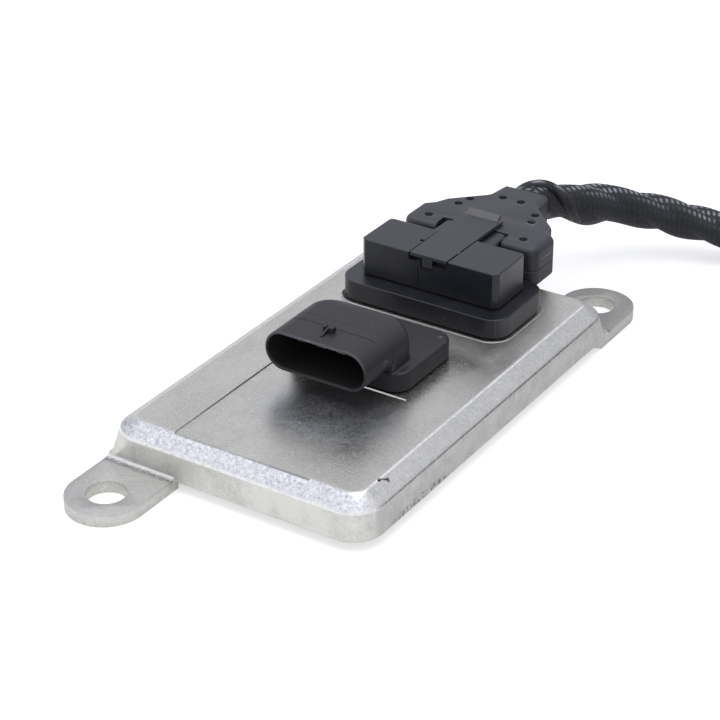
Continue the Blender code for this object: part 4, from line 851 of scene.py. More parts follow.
def shell_plastic(context):
    """The matt plastic of the back shell and the locking strip."""
    marks = (
        ((0.0050, 0.0292, 0.0252), 0.00042, (1.0, 1.0, 1.0), 0.65, False),
        ((0.0172, 0.0470, 0.0207), 0.0020, (1.0, 0.5, 8.0), 0.30, True),
        ((0.0100, 0.0530, 0.0243), 0.0016, (1.0, 0.8, 1.0), 0.22, True),
        ((0.0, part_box("locking_strip")[1].y - 0.0010, 0.0262), 0.0018, (0.12, 1.0, 1.0), 0.075, False),
    )
    return moulded_plastic("shell_plastic", context.scene.sensor_shell.plastic, 0.46, marks=marks,
                           painted_sheen=("Z", 0.2, 0.9, 0.45, 0.75))


def satin(context):
    """The satin plastic of the pedestal and the plug block."""
    marks = (
        ((0.0193, 0.0202, 0.0145), 0.00016, (1.0, 1.0, 0.02), 0.040, False),
        ((0.0070, 0.0191, 0.0140), 0.00030, (1.0, 1.0, 0.4), 0.14, True),
        ((-0.0060, 0.0191, 0.0150), 0.00050, (1.0, 1.0, 1.0), 0.12, True),
    )
    return moulded_plastic("satin_plastic", context.scene.sensor_plug.satin, 0.33, grain=1700.0, bump=0.12, scuff=0.25,
                           marks=marks, painted_sheen=("Y", -0.9, -0.4, 0.35, 0.72))


def plain_metal(name, colour, roughness, grain=1800.0, contrast=0.6):
    """Machined or sheet metal: fine grain, tarnish clouds and scratches."""
    if finish_called(name):
        return finish_called(name)
    material, s, shader = new_material(name)
    speckle = s.group(speckle_group(), grain=grain, cloud=210.0, contrast=contrast)
    scratches = s.group(scratch_group(), fineness=3300.0, amount=0.4)["Mask"]
    base = s.mix(speckle["Clouds"], rgba(colour, 0.82), rgba(colour, 1.12))
    base = s.over(base, rgba(colour, 1.3), speckle["Grains"], 0.25)
    base = s.over(base, rgba(colour, 1.5), scratches)
    add_finish(s, shader, base, s.total(roughness - 0.05, s.times(speckle["Clouds"], 0.12)), metallic=1.0)
    add_bump(s, shader, speckle["Height"], 0.22, 0.00010)
    return material


def matt_solid(name, colour, roughness):
    """Rubber, ceramic, laminate and other plain solids with a fine grain."""
    if finish_called(name):
        return finish_called(name)
    material, s, shader = new_material(name)
    speckle = s.group(speckle_group(), grain=1500.0, cloud=180.0, contrast=0.8)
    base = s.mix(speckle["Clouds"], rgba(colour, 0.85), rgba(colour, 1.15))
    base = s.over(base, rgba(colour, 1.4), speckle["Grains"], 0.2)
    add_finish(s, shader, base, s.total(roughness - 0.05, s.times(speckle["Grains"], 0.1)))
    add_bump(s, shader, speckle["Height"], 0.2, 0.00012)
    return material


def black_rubber():
    """The rubber of the gaskets and the boot."""
    return matt_solid("black_rubber", (0.012, 0.012, 0.013), 0.45)


def probe_steel(context):
    """The steel of the probe, inside and out."""
    return plain_metal("probe_steel", context.scene.sensor_probe.steel, 0.32, 1400.0, 0.7)


def woven_fabric(lead):
    """Woven sleeve: short ribs in rows that follow the lead's own UV map, one unit a rib along and a row around."""
    material, s, shader = new_material("woven_sleeve")
    parts = s.node("SeparateXYZ", {0: s.node("UVMap", uv_map="lead").outputs[0]}).outputs
    around = parts["Y"]
    along = s.total(parts["X"], s.times(around, 0.5))
    ribs = s.fade(s.math("SINE", s.times(along, 2 * math.pi)), -0.8, 0.8)
    rows = s.fade(s.math("SINE", s.times(around, 2 * math.pi)), -0.9, 0.5)
    over = s.times(ribs, rows)
    fibre_place = s.node("CombineXYZ", {0: s.times(along, 2.0), 1: s.times(around, 14.0)}).outputs[0]
    fibres = s.noise(fibre_place, 1.0, 2.0, 0.6)
    wear = s.fade(s.noise(s.node("TexCoord").outputs["Object"], 190.0, 4.0, 0.6), 0.40, 0.68)
    # Painted highlight: ribs on the upper side turn pale and glossy, broken up by wear
    tick = s.times(over, s.fade(fibres, 0.25, 0.75, 0.5, 1.0))
    highlight_and_wear = s.times(tick, s.fade(s.facing("Z"), 0.60, 0.90), s.fade(wear, 0.0, 1.0, 0.55, 1.0))
    base = s.mix(over, rgba(lead.fabric, 0.75), rgba(lead.fabric, 1.15))
    base = s.over(base, rgba((0.34, 0.35, 0.38)), highlight_and_wear)
    add_finish(s, shader, base, s.fade(highlight_and_wear, 0.0, 0.8, 0.50, 0.28))
    s.tree.links.new(s.fade(highlight_and_wear, 0.0, 0.8, 0.35, 1.0), shader.inputs["Specular IOR Level"])
    add_bump(s, shader, s.total(over, s.times(fibres, 0.25)), 0.60, 0.00022)
    return material


# Geometry Nodes


class NodeShape:
    """Short way to add and join the nodes of one geometry tree."""

    def __init__(self, name, inputs):
        self.tree = bpy.data.node_groups.new(name, "GeometryNodeTree")
        self.sockets = {}
        for socket, kind, default in inputs:
            item = self.tree.interface.new_socket(socket, in_out="INPUT", socket_type="NodeSocket" + kind)
            if default is not None:
                item.default_value = default
            self.sockets[socket] = item.identifier
        self.tree.interface.new_socket("Geometry", in_out="OUTPUT", socket_type="NodeSocketGeometry")
        self.source = self.tree.nodes.new("NodeGroupInput").outputs
        self.sink = self.tree.nodes.new("NodeGroupOutput").inputs

    def node(self, kind, inputs=None, **settings):
        """Add a node with its options and inputs."""
        return add_node(self.tree, kind, inputs, settings)

    def lifted(self, height):
        """Vector that points up by a height."""
        return self.node("ShaderNodeCombineXYZ", {2: height}).outputs[0]

    def object_mesh(self, source):
        """Geometry of the object at an input."""
        return self.node("GeometryNodeObjectInfo", {"Object": self.source[source]}).outputs["Geometry"]

    def instances(self, points, instance, rotation=(0.0, 0.0, 0.0)):
        """One instance at each point."""
        inputs = {"Points": points, "Instance": instance, "Rotation": rotation}
        return self.node("GeometryNodeInstanceOnPoints", inputs).outputs[0]

    def finish(self, geometry, material):
        """End the tree with real geometry in one material."""
        real = self.node("GeometryNodeRealizeInstances", {"Geometry": geometry})
        coloured = self.node("GeometryNodeSetMaterial", {"Geometry": real.outputs[0], "Material": material})
        self.tree.links.new(coloured.outputs[0], self.sink[0])

    def grow(self, piece, **values):
        """Run the tree on a piece with values by input name, and keep the plain mesh."""
        modifier = piece.modifiers.new("shape", "NODES")
        modifier.node_group = self.tree
        for name, value in values.items():
            modifier[self.sockets[socket_name(name)]] = value
        return settle(piece)


def points_piece(name, places):
    """Object of loose points, for a geometry tree to fill."""
    mesh = bpy.data.meshes.new(name)
    mesh.from_pydata([tuple(place) for place in places], [], [])
    piece = bpy.data.objects.new(name, mesh)
    bpy.context.scene.collection.objects.link(piece)
    return piece


# Control unit


def case_outline(case, distance=0.0):
    """Outline of the case's walls."""
    half_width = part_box("housing")[1].x
    return grown(rectangle(half_width, case.length / 2, case.corner), distance)


def flared_outline(case, height, distance=0.0):
    """Outline of the case at a height: the two corners over the ears are sharp at the ear and round at the shoulder."""
    corners, radii = case_outline(case)
    rise = min(1.0, max(0.0, (height - case.ear_thickness) / (case.shoulder - case.ear_thickness)))
    flared = case.corner_foot + (case.corner - case.corner_foot) * rise ** 0.7
    return grown((corners, [flared, radii[1], flared, radii[3]]), distance)


def ear_places(case):
    """Centres of the two ear holes."""
    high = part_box("housing")[1]
    x, y = high.x - case.ear_radius, high.y - case.ear_radius
    return (-x, -y), (x, y)


def make_ear(case, place):
    """One mounting ear with its fillet to the wall and its softened rim."""
    x, y = place
    side = math.copysign(1, y)
    outer_y = y + side * case.ear_radius
    round_end = case.ear_radius - 0.00005
    overlaps = ((0.0030, 0.0), (0.0067, case.foot), (0.0067, case.foot + 0.0001), (0.0120, case.foot + 0.0002),
                (0.0120, case.shoulder))
    layers = []
    for overlap, height in overlaps:
        inner_y = side * (case.length / 2 - overlap)
        corners, _ = rectangle(case.ear_radius - 0.00003, abs(outer_y - inner_y) / 2, 0.0, x, (inner_y + outer_y) / 2)
        radii = [round_end, round_end, 0.0003, 0.0003]
        layers.append(((corners, radii if side < 0 else radii[::-1]), height))
    ear = stacked("ear", layers, steps=28)
    top = case.ear_thickness
    beyond = case_outline(case, 0.05)
    layers = [(beyond, -OVERRUN), (beyond, top)]
    steps = 6
    for step, (sine, cosine) in enumerate(quarter_turn(steps)):
        offset = case.ear_fillet * (1 - sine) - 0.00004 * step / steps
        layers.append((flared_outline(case, top, offset), top + case.ear_fillet * (1 - cosine)))
    combined(ear, [stacked("flange", layers, steps=16)], "INTERSECT")
    cut(ear, drill("hole", place, case.ear_hole / 2, (-OVERRUN, top + OVERRUN), 56))
    return soften(ear, 0.00022, 2, 60)


CORNERS = [(x, y) for x in (-1, 1) for y in (-1, 1)]


def screw_place(case):
    """How far the cover screws sit from the case's middle along X and Y."""
    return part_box("housing")[1].x - case.wall - 0.003, case.length / 2 - case.wall - 0.003


def case_cavity(case, ledge, top):
    """Cutter for the case's hollow, which leaves the screw bosses and the board's posts standing."""
    inside = case_outline(case, -case.wall)
    layers = [(inside, ledge - 0.0005), (inside, 0.0078), (grown(inside, -0.0023), top - 0.002)]
    cavity = stacked("cavity", layers, steps=10)
    x, y = screw_place(case)
    kept = []
    for side_x, side_y in CORNERS:
        boss = rectangle(0.0032, 0.0032, 0.002, side_x * (x + 0.0003), side_y * (y + 0.0003))
        kept.append(stacked("boss", [(boss, 0.0), (boss, 0.012)], steps=6))
        kept.append(drill("post", (side_x * 0.0225, side_y * 0.0145), 0.0018, (0.0071, 0.012), 24))
    return cut(cavity, *kept)


def pad_bead(top):
    """Fine raised bead round the pedestal's seat."""
    low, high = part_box("sensor_header")
    pad = rectangle(high.x, (high.y - low.y) / 2, 0.0048, 0.0, (high.y + low.y) / 2)
    section = ((0.00025, -0.0004), (0.00030, 0.00012), (0.00046, 0.00017), (0.00062, 0.00010), (0.00080, -0.0004))
    return stacked("bead", [(grown(pad, offset), top + rise) for offset, rise in section], steps=16, closed=True)


def recess_cutter(case, top):
    """Cutter for the shallow label recess, which runs out through the front."""
    front = -case.length / 2 - 0.002
    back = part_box("vehicle_header")[0].y + 0.0095
    recess = rectangle(case.recess_width / 2, (back - front) / 2, 0.0004, 0.0, (back + front) / 2)
    layers = [(recess, top - case.recess_depth), (grown(recess, 0.00012), top), (grown(recess, 0.0004), top + OVERRUN)]
    return stacked("recess", layers, steps=5)


def make_case(case):
    """The cast case: bevelled shell with ears, recess, hollow and bosses."""
    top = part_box("housing")[1].z
    climb = case.shoulder - case.ear_thickness
    flare = [(0.0, case.ear_thickness + climb * step / 6, 0.0) for step in range(6)]
    outer = [
        (-0.0003, case.foot, 0.0), (0.0, case.foot + 0.0003, 0.0), *flare, (0.0, case.shoulder, case.edge),
        (-case.bevel, top, case.top_edge), (-case.bevel - 0.0026, top, 0.0),
    ]
    layers = [(flared_outline(case, height, offset), height) for offset, height in eased(outer, 5)]
    shell = stacked("case", layers, steps=18)
    fuse(shell, pad_bead(top), *[make_ear(case, place) for place in ear_places(case)])
    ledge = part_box("cover_seal")[1].z + SEAT_GAP
    lip = case_outline(case, -case.lip)
    rebate = stacked("rebate", [(lip, -OVERRUN), (lip, ledge)], steps=18)
    openings = []
    for outline in (rectangle(0.0112, 0.0031, 0.0015, 0.0, -0.0044), rectangle(0.0088, 0.0045, 0.0015, 0.0, 0.02985)):
        openings.append(stacked("opening", [(outline, 0.008), (outline, 0.013)], steps=5))
    x, y = screw_place(case)
    holes = [drill("screw_hole", (side_x * x, side_y * y), 0.0015, (0.0, 0.0073), 24) for side_x, side_y in CORNERS]
    return cut(shell, case_cavity(case, ledge, top), rebate, recess_cutter(case, top), *openings, *holes)


class SENSOR_OT_case(bpy.types.Operator):
    """Build the cast case"""
    bl_idname = "sensor.case"
    bl_label = "Case"

    def execute(self, context):
        case = context.scene.sensor_case
        piece = make_case(case)
        piece.name = "cast_case"
        present(piece, cast_metal(case), ["housing"], angle=28)
        return {"FINISHED"}


class SENSOR_OT_base(bpy.types.Operator):
    """Finish the base cover and drive its screws"""
    bl_idname = "sensor.base"
    bl_label = "Base cover"

    def execute(self, context):
        case = context.scene.sensor_case
        low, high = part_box("base_cover")
        outline = grown(case_outline(case, -case.lip), -SEAT_GAP)
        profile = [(-0.0002, low.z, 0.0), (0.0, low.z + 0.0002, 0.0), (0.0, high.z, 0.0)]
        cover = lofted("base_plate", outline, profile, steps=18)
        rib = rectangle(high.x - 0.008, high.y - 0.008, 0.004)
        narrow = grown(rib, -0.0006)
        below, deep = low.z - OVERRUN, low.z + 0.00025
        groove = stacked("groove", [(rib, below), (rib, deep), (narrow, deep), (narrow, below)], steps=8, closed=True)
        boxes = [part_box(name) for name in numbered("cover_screw", 4)]
        places = [((lo.x + hi.x) / 2, (lo.y + hi.y) / 2) for lo, hi in boxes]
        cut(cover, groove, *[drill("hole", place, 0.0015, (below, high.z + OVERRUN), 32) for place in places])
        sheet = plain_metal("sheet_aluminium", (0.45, 0.45, 0.46), 0.42, 1500.0, 0.7)
        present(cover, sheet, ["base_cover"])
        make_screws(places, boxes[0], plain_metal("steel", (0.42, 0.41, 0.40), 0.34))
        return {"FINISHED"}


def make_screws(places, first_box, steel):
    """The four cover screws, from one turned screw with a star recess."""
    low, high = first_box
    shank, rim = 0.0012, 0.0022
    head, recess = low.z + 0.0010, low.z + 0.0006
    profile = [(0.0, recess, 0.0), (0.0009, recess, 0.0), (0.0009, low.z, 0.00008), (rim, low.z, 0.00035),
               (rim, head, 0.0), (shank, head, 0.0), (shank, high.z - 0.0003, 0.0), (0.0009, high.z, 0.0),
               (0.0, high.z, 0.0)]
    screw = turned("screw", profile, 40, 3)
    cut(screw, *[drill("lobe", place, 0.0003, (low.z - OVERRUN, recess), 10) for place in circle(0.00085, 6)])
    tree = NodeShape("Screws", (("Geometry", "Geometry", None), ("Screw", "Object", None), ("Turn", "Float", 0.6)))
    index = tree.node("GeometryNodeInputIndex").outputs[0]
    turn = tree.node("ShaderNodeMath", {0: index, 1: tree.source["Turn"]}, operation="MULTIPLY").outputs[0]
    tree.finish(tree.instances(tree.source["Geometry"], tree.object_mesh("Screw"), tree.lifted(turn)), steel)
    piece = points_piece("cover_screws", [(x, y, 0.0) for x, y in places])
    tree.grow(piece, screw=screw)
    bpy.data.objects.remove(screw)
    present(piece, steel, numbered("cover_screw", 4))


# Vehicle socket


def socket_outline(socket, distance=0.0):
    """Outline of the oval socket, seen along Y."""
    oval = rectangle(socket.width / 2, socket.height / 2, socket.height / 2 - 0.00005, 0.0, socket.middle)
    return grown(oval, distance)


def make_socket_form(socket):
    """Oval socket and the rounded block behind it, as one solid along Y."""
    mouth = -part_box("vehicle_header")[0].y
    front = -socket.base_front - 0.0004
    back = -socket.body_back
    half = socket.width / 2 + 0.00002
    top = socket.middle + socket.height / 2 + 0.00002
    foot = socket.base_top - 0.0004
    radius = socket.height / 2 - 0.00005
    layers = []
    for sine, cosine in reversed(quarter_turn(12)):
        side = half - socket.body_corner * (1 - cosine)
        roof = top - 0.0012 * (1 - cosine)
        corners = [(-side, foot), (side, foot), (side, roof), (-side, roof)]
        layers.append(((corners, [0.0002, 0.0002, radius, radius]), back + socket.body_corner * (1 - sine)))
    layers.append((layers[-1][0], front))
    rim = 0.00028
    layers += [(socket_outline(socket), front), (socket_outline(socket), mouth - rim - 0.0001)]
    for sine, cosine in quarter_turn(4):
        layers.append((socket_outline(socket, -rim * (1 - cosine)), mouth - rim * (1 - sine)))
    return stacked("socket_form", layers, steps=16, matrix=ALONG_MINUS_Y)


def make_skirt(socket):
    """Fillet between the base block and the block behind the socket."""
    reach = 0.00055
    front, back = socket.base_front + 0.0004, socket.body_back
    corners, _ = rectangle(socket.width / 2 + 0.0001, (back - front) / 2, 0.0, 0.0, (back + front) / 2)
    outline = corners, [0.0003, 0.0003, socket.body_corner, socket.body_corner]
    layers = [(grown(outline, 0.0006), socket.base_top - SUNK)]
    for sine, cosine in quarter_turn(5):
        layers.append((grown(outline, reach * (1 - sine)), socket.base_top + reach * (1 - cosine)))
    return stacked("skirt", layers, steps=12)


def mould_line(socket, mouth):
    """Cutter for the fine line round the socket's upper half."""
    place = -mouth - 0.00705
    section = ((-0.00014, 0.0), (-0.00014, -0.00016), (OVERRUN, -0.00016), (OVERRUN, 0.0))
    layers = [(socket_outline(socket, offset), place + shift) for offset, shift in section]
    line = stacked("line", layers, steps=16, closed=True, matrix=ALONG_MINUS_Y)
    upper = block("upper", (-0.0112, 0.0100), (mouth, mouth + 0.02), (socket.middle, 0.03))
    return combined(line, [upper], "INTERSECT")


def make_vehicle_header(socket):
    """The whole header: base block, socket, latch nub, blade slots."""
    low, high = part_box("vehicle_header")
    front, base_top = socket.base_front, socket.base_top
    base = rectangle(high.x, (high.y - front) / 2, socket.base_corner, 0.0, (high.y + front) / 2)
    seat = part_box("header_seal")[0].z
    profile = [(-0.00015, seat, 0.0), (0.0, seat + 0.00015, 0.0), (0.0, base_top, 0.0007), (-0.003, base_top, 0.0)]
    header = lofted("vehicle_socket", base, profile, steps=16, arc=5)
    spigot = rectangle(0.0109, 0.0028, 0.0012, 0.0, -0.0044)
    foot = stacked("spigot", [(spigot, low.z), (spigot, seat + OVERRUN)], steps=5)
    fuse(header, make_socket_form(socket), make_skirt(socket), foot, *latch_nub(socket))
    inner = socket_outline(socket, -socket.wall)
    floor = low.y + socket.depth
    layers = [(inner, -floor), (inner, -low.y - 0.0004), (grown(inner, 0.00018), -low.y),
              (grown(inner, 0.0006), -low.y + OVERRUN)]
    mouth = stacked("mouth", layers, steps=16, matrix=ALONG_MINUS_Y)
    well = block("well", (-0.0091, 0.0091), (floor + 0.002, floor + 0.0052), (0.008, socket.middle + 0.0011))
    slot_z = (socket.middle - 0.0007, socket.middle + 0.0007)
    slots = [clearance(blade, slot_z, (floor - OVERRUN, floor + 0.003)) for blade in numbered("header_pin", 4)]
    return cut(header, mouth, well, mould_line(socket, low.y), *slots)


def latch_nub(socket):
    """The small catch on the socket's top: two blocks and a raked rib."""
    roof = socket.middle + socket.height / 2
    foot = roof - SUNK
    rise = 0.0011
    high, middle, low = (roof + rise * share for share in (1.0, 0.95, 0.15))
    post_top = roof + rise * 0.85
    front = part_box("vehicle_header")[0].y + 0.0034
    end = front + 0.0030
    wide = extruded("catch", [(front + 0.0014, foot), (end, foot), (end, high), (front + 0.0016, high)],
                    (0.0001, 0.0011))
    post = extruded("post", [(front + 0.0016, foot), (end, foot), (end, post_top), (front + 0.0018, post_top)],
                    (-0.0014, -0.0009))
    corners = ((-0.0004, front - 0.0008, low), (0.0000, front - 0.0008, low), (-0.0001, front + 0.0026, middle),
               (-0.0005, front + 0.0026, middle))
    bm = bmesh.new()
    skin(bm, [[(x, y, foot) for x, y, _ in corners], corners])
    return wide, post, new_piece("rib", bm)


class SENSOR_OT_socket(bpy.types.Operator):
    """Build the vehicle header with its oval socket"""
    bl_idname = "sensor.socket"
    bl_label = "Vehicle socket"

    def execute(self, context):
        socket = context.scene.sensor_socket
        header = make_vehicle_header(socket)
        present(header, charcoal(context), ["vehicle_header"], angle=32)
        return {"FINISHED"}


# Pedestal and plug


class SENSOR_OT_pedestal(bpy.types.Operator):
    """Build the pedestal and its squeezed gasket"""
    bl_idname = "sensor.pedestal"
    bl_label = "Pedestal"

    def execute(self, context):
        plug = context.scene.sensor_plug
        low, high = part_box("sensor_header")
        seat, gasket_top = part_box("pedestal_seal")[0].z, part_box("pedestal_seal")[1].z
        centre = (low.y + high.y) / 2
        outline = rectangle(high.x, (high.y - low.y) / 2, plug.pedestal_corner, 0.0, centre)
        rim = gasket_top + SEAT_GAP
        skirt = seat + 0.00035
        profile = [(-0.0026, seat, 0.0), (-0.0026, rim, 0.0), (-0.0010, rim, 0.0), (-0.0010, skirt, 0.0),
                   (-0.0001, skirt, 0.0), (0.0, skirt + 0.0001, 0.0), (0.0, high.z, 0.00022), (-0.004, high.z, 0.0)]
        pedestal = lofted("pedestal", outline, profile, steps=16, arc=4)
        spigot = rectangle(0.0085, 0.0042, 0.0012, 0.0, centre)
        fuse(pedestal, stacked("spigot", [(spigot, low.z), (spigot, seat + OVERRUN)], steps=5))
        well = rectangle(0.0133, 0.0047, 0.0012, 0.0, centre)
        bores = [clearance(pin, (0.008, 0.014)) for pin in numbered("sensor_pin", 8)]
        cut(pedestal, stacked("well", [(well, 0.0134), (well, high.z + OVERRUN)], steps=6), *bores)
        present(pedestal, satin(context), ["sensor_header"], angle=32)
        make_gasket(outline, seat, gasket_top, centre)
        return {"FINISHED"}


def make_gasket(outline, foot, top, centre):
    """Gasket under the pedestal's rim, squeezed out at the front left corner."""
    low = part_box("sensor_header")[0]
    corner = Vector((low.x, low.y))
    middle = Vector((0.0, centre))
    bulge, reach = 0.0024, 0.0078
    bead = foot + 0.0003
    loops = []
    for offset, height in ((-0.0013, foot), (-0.00115, foot + 0.00012), (-0.00115, foot + 0.00024), (-0.0013, bead)):
        loop = []
        for point in outline_points(grown(outline, offset), 16):
            place = Vector(point)
            closeness = max(0.0, 1 - (place - corner).length / reach)
            swell = bulge * math.sin(closeness * math.pi / 2)
            moved = place + (place - middle).normalized() * swell
            loop.append((moved.x, moved.y, height))
        loops.append(loop)
    for offset, height in ((-0.002, bead), (-0.002, top), (-0.0024, top), (-0.0024, foot)):
        loops.append([(x, y, height) for x, y in outline_points(grown(outline, offset), 16)])
    bm = bmesh.new()
    skin(bm, loops, closed=True)
    present(new_piece("pedestal_gasket", bm), black_rubber(), ["pedestal_seal"], angle=50)


def make_plug_block(plug):
    """Plug block with its groove, neck, front panel and the windows behind the strip's lip."""
    low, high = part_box("plug_housing")
    header_low, header_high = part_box("sensor_header")
    half, top = high.x, high.z
    front, back, chamfer = plug.plug_front, plug.plug_back, plug.chamfer
    corners = [(-half + chamfer, front), (half - chamfer, front), (half, front + chamfer), (half, back), (-half, back),
               (-half, front + chamfer)]
    outline = corners, [0.0002, 0.0002, 0.0002, chamfer, chamfer, 0.0002]
    foot = header_high.z + SEAT_GAP
    profile = [(-0.0001, foot, 0.0), (0.0, foot + 0.0001, 0.0), (0.0, top, 0.00032), (-0.0008, top, 0.0)]
    body = lofted("plug_block", outline, profile, steps=5, arc=4)
    spigot = rectangle(0.0130, 0.0044, 0.0012, 0.0, (header_low.y + header_high.y) / 2)
    floor = plug.groove_floor
    neck_x, neck_top = plug.neck_width / 2, floor - 0.0002
    neck = [(-neck_x, foot), (neck_x, foot), (neck_x, neck_top), (-neck_x, neck_top)], [0.0003, 0.0003, 0.0013, 0.0013]
    fuse(body, stacked("spigot", [(spigot, low.z), (spigot, foot + OVERRUN)], steps=5),
         stacked("neck", [(neck, -high.y), (neck, OVERRUN - back)], steps=8, matrix=ALONG_MINUS_Y))
    left = -plug.strip_width / 2 - plug.strip_gap * 0.4
    right = plug.strip_width / 2 + plug.strip_gap
    above = floor + 0.0005
    tools = [block("groove", (left, right), (front - OVERRUN, back + OVERRUN), (floor, top + OVERRUN))]
    # Left window, left slit, right window, tab seat and panel: limits along X, depth, limits along Z
    front_cuts = (
        (-0.0049, -0.0027, 0.0013, floor - 0.0007, above), (-0.0028, -0.0016, 0.0009, floor - 0.00025, above),
        (0.0010, 0.0047, 0.0013, floor - 0.0009, above), (-0.0018, 0.0013, 0.0007, floor - 0.0020, above),
        (-0.0026, 0.0015, 0.00012, foot - OVERRUN, floor - 0.0022),
    )
    for x_low, x_high, depth, z_low, z_high in front_cuts:
        tools.append(block("front_cut", (x_low, x_high), (front - OVERRUN, front + depth), (z_low, z_high)))
    side = front + chamfer
    tools.append(block("corner_groove", (half - 0.00014, half + OVERRUN), (side + 0.00003, side + 0.00019),
                       (foot + 0.0006, top - 0.0005)))
    tools.append(drill("peg_hole", (-0.0054, 0.0300), 0.00045, (top - 0.0012, top + OVERRUN), 16))
    bore_z = (low.z - OVERRUN, low.z + 0.0068)
    return cut(body, *tools, *[clearance(contact, bore_z) for contact in numbered("plug_contact", 8)])


def make_strip(plug):
    """Locking strip, wider behind than in front, with its tab and thumb ramp."""
    low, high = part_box("locking_strip")
    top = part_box("plug_housing")[1].z
    front_half = plug.strip_width / 2
    back_half = high.x
    corners = [(-front_half, low.y), (front_half, low.y), (back_half, high.y), (-back_half, high.y)]
    outline = corners, [0.0001, 0.0001, 0.0009, 0.0009]
    profile = [(0.0, low.z, 0.0), (0.0, top, 0.00012), (-0.002, top, 0.0)]
    strip = lofted("strip", outline, profile, steps=6, arc=3)
    ramp_side = [(high.y - 0.0019, top - SUNK), (high.y - 0.0003, top - SUNK), (high.y - 0.0003, high.z),
                 (high.y - 0.0006, high.z), (high.y - 0.0019, top)]
    ramp = extruded("ramp", ramp_side, (-back_half + 0.0009, back_half - 0.0009))
    tab = block("tab", (-0.0015, 0.0011), (low.y - 0.00012, low.y + 0.0004), (low.z - 0.0021, low.z + 0.0002))
    return fuse(strip, ramp, tab)


class SENSOR_OT_plug(bpy.types.Operator):
    """Build the plug block and its locking strip"""
    bl_idname = "sensor.plug"
    bl_label = "Plug"

    def execute(self, context):
        plug = context.scene.sensor_plug
        present(make_plug_block(plug), satin(context), ["plug_housing"], angle=32)
        present(make_strip(plug), shell_plastic(context), ["locking_strip"], angle=32)
        return {"FINISHED"}


# Back shell


def shell_outline(distance=0.0):
    """Outline of the back shell, which narrows to the lead."""
    low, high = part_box("cover_top")
    front = low.y
    half_side = [
        (high.x, 0.0, 0.0025), (high.x, 0.0091, 0.0010), (high.x - 0.0020, 0.0111, 0.0010),
        (0.0140, 0.0142, 0.0010), (0.0067, 0.0215, 0.0020), (0.0059, high.y - front, 0.0012),
    ]
    corners = [(x, front + y) for x, y, _ in half_side] + [(-x, front + y) for x, y, _ in reversed(half_side)]
    radii = [radius for _, _, radius in half_side]
    return grown((corners, radii + radii[::-1]), distance)


def make_shell_halves(shell, neck_width):
    """Upper and lower half of the back shell."""
    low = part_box("cover_bottom")[0]
    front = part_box("cover_top")[0].y
    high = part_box("cover_top")[1]
    over, under = shell.seam + 0.00005, shell.seam - 0.00005
    upper = [(-0.0001, over, 0.0), (0.0, over + 0.0001, 0.0), (0.0, high.z, shell.rounding), (-0.0024, high.z, 0.0)]
    lower = [(-0.0012, low.z, 0.0), (0.0, low.z, 0.0008), (0.0, under - 0.0001, 0.0), (-0.0001, under, 0.0)]
    top = lofted("shell_top", shell_outline(), upper, steps=7, arc=7)
    bottom = lofted("shell_bottom", shell_outline(), lower, steps=7, arc=4)
    notch = neck_width / 2 + 0.0004
    notch_y = (front - OVERRUN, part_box("plug_housing")[1].y + SEAT_GAP)
    notch_z = (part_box("sensor_header")[1].z, high.z + OVERRUN)
    middle = (low.z + high.z) / 2
    outlet_z = (-high.y - OVERRUN, -high.y + 0.004)
    inside = shell_outline(-shell.wall)
    for half in (top, bottom):
        hollow = stacked("hollow", [(inside, low.z + shell.skin), (inside, high.z - shell.skin)], steps=4)
        neck = block("neck", (-notch, notch), notch_y, notch_z)
        outlet = drill("outlet", (0.0, middle), shell.outlet / 2, outlet_z, 40, matrix=ALONG_MINUS_Y)
        cut(half, hollow, neck, outlet)
    hole_z = (high.z - shell.hole_depth, high.z + 0.0003)
    holes = []
    for x, y in ((0.0124, 0.0037), (0.00965, 0.0125), (0.00865, 0.0161), (0.0024, 0.0207)):
        for place in ((-x, front + y), (x, front + y)):
            holes.append(drill("blind_hole", place, shell.hole / 2, hole_z, 24, flare=0.00012))
    cut(top, *holes)
    soften(top, 0.00028, 2, 62)
    return top, bottom


class SENSOR_OT_shell(bpy.types.Operator):
    """Build the two halves of the back shell"""
    bl_idname = "sensor.shell"
    bl_label = "Back shell"

    def execute(self, context):
        plastic = shell_plastic(context)
        top, bottom = make_shell_halves(context.scene.sensor_shell, context.scene.sensor_plug.neck_width)
        present(top, plastic, ["cover_top"], angle=32)
        present(bottom, plastic, ["cover_bottom"], angle=32)
        return {"FINISHED"}


# Lead


LEAD_START = (0.0, 0.0693, 0.0194)
LEAD_ROUTE = (
    (0.0001, 0.0733, 0.0192), (0.0018, 0.0776, 0.0178), (0.0057, 0.0851, 0.0156), (0.0120, 0.0926, 0.0136),
    (0.0197, 0.0985, 0.0114), (0.0284, 0.1029, 0.0091), (0.0377, 0.1059, 0.0071), (0.0474, 0.1078, 0.0057),
    (0.0573, 0.1088, 0.0048), (0.0672, 0.1091, 0.0044), (0.0770, 0.1092, 0.0043), (0.0920, 0.1092, 0.0043),
)
COIL_CENTRE = (0.1070, 0.0672)
TAIL_ROUTE = (
    (0.1490, 0.0552, 0.0213), (0.1490, 0.0452, 0.0206), (0.1490, 0.0372, 0.0180), (0.1490, 0.0300, 0.0145),
    (0.1490, 0.0235, 0.0118), (0.1490, 0.0190, 0.0110),
)
LEAD_END = (0.1490, 0.0165, 0.0110)


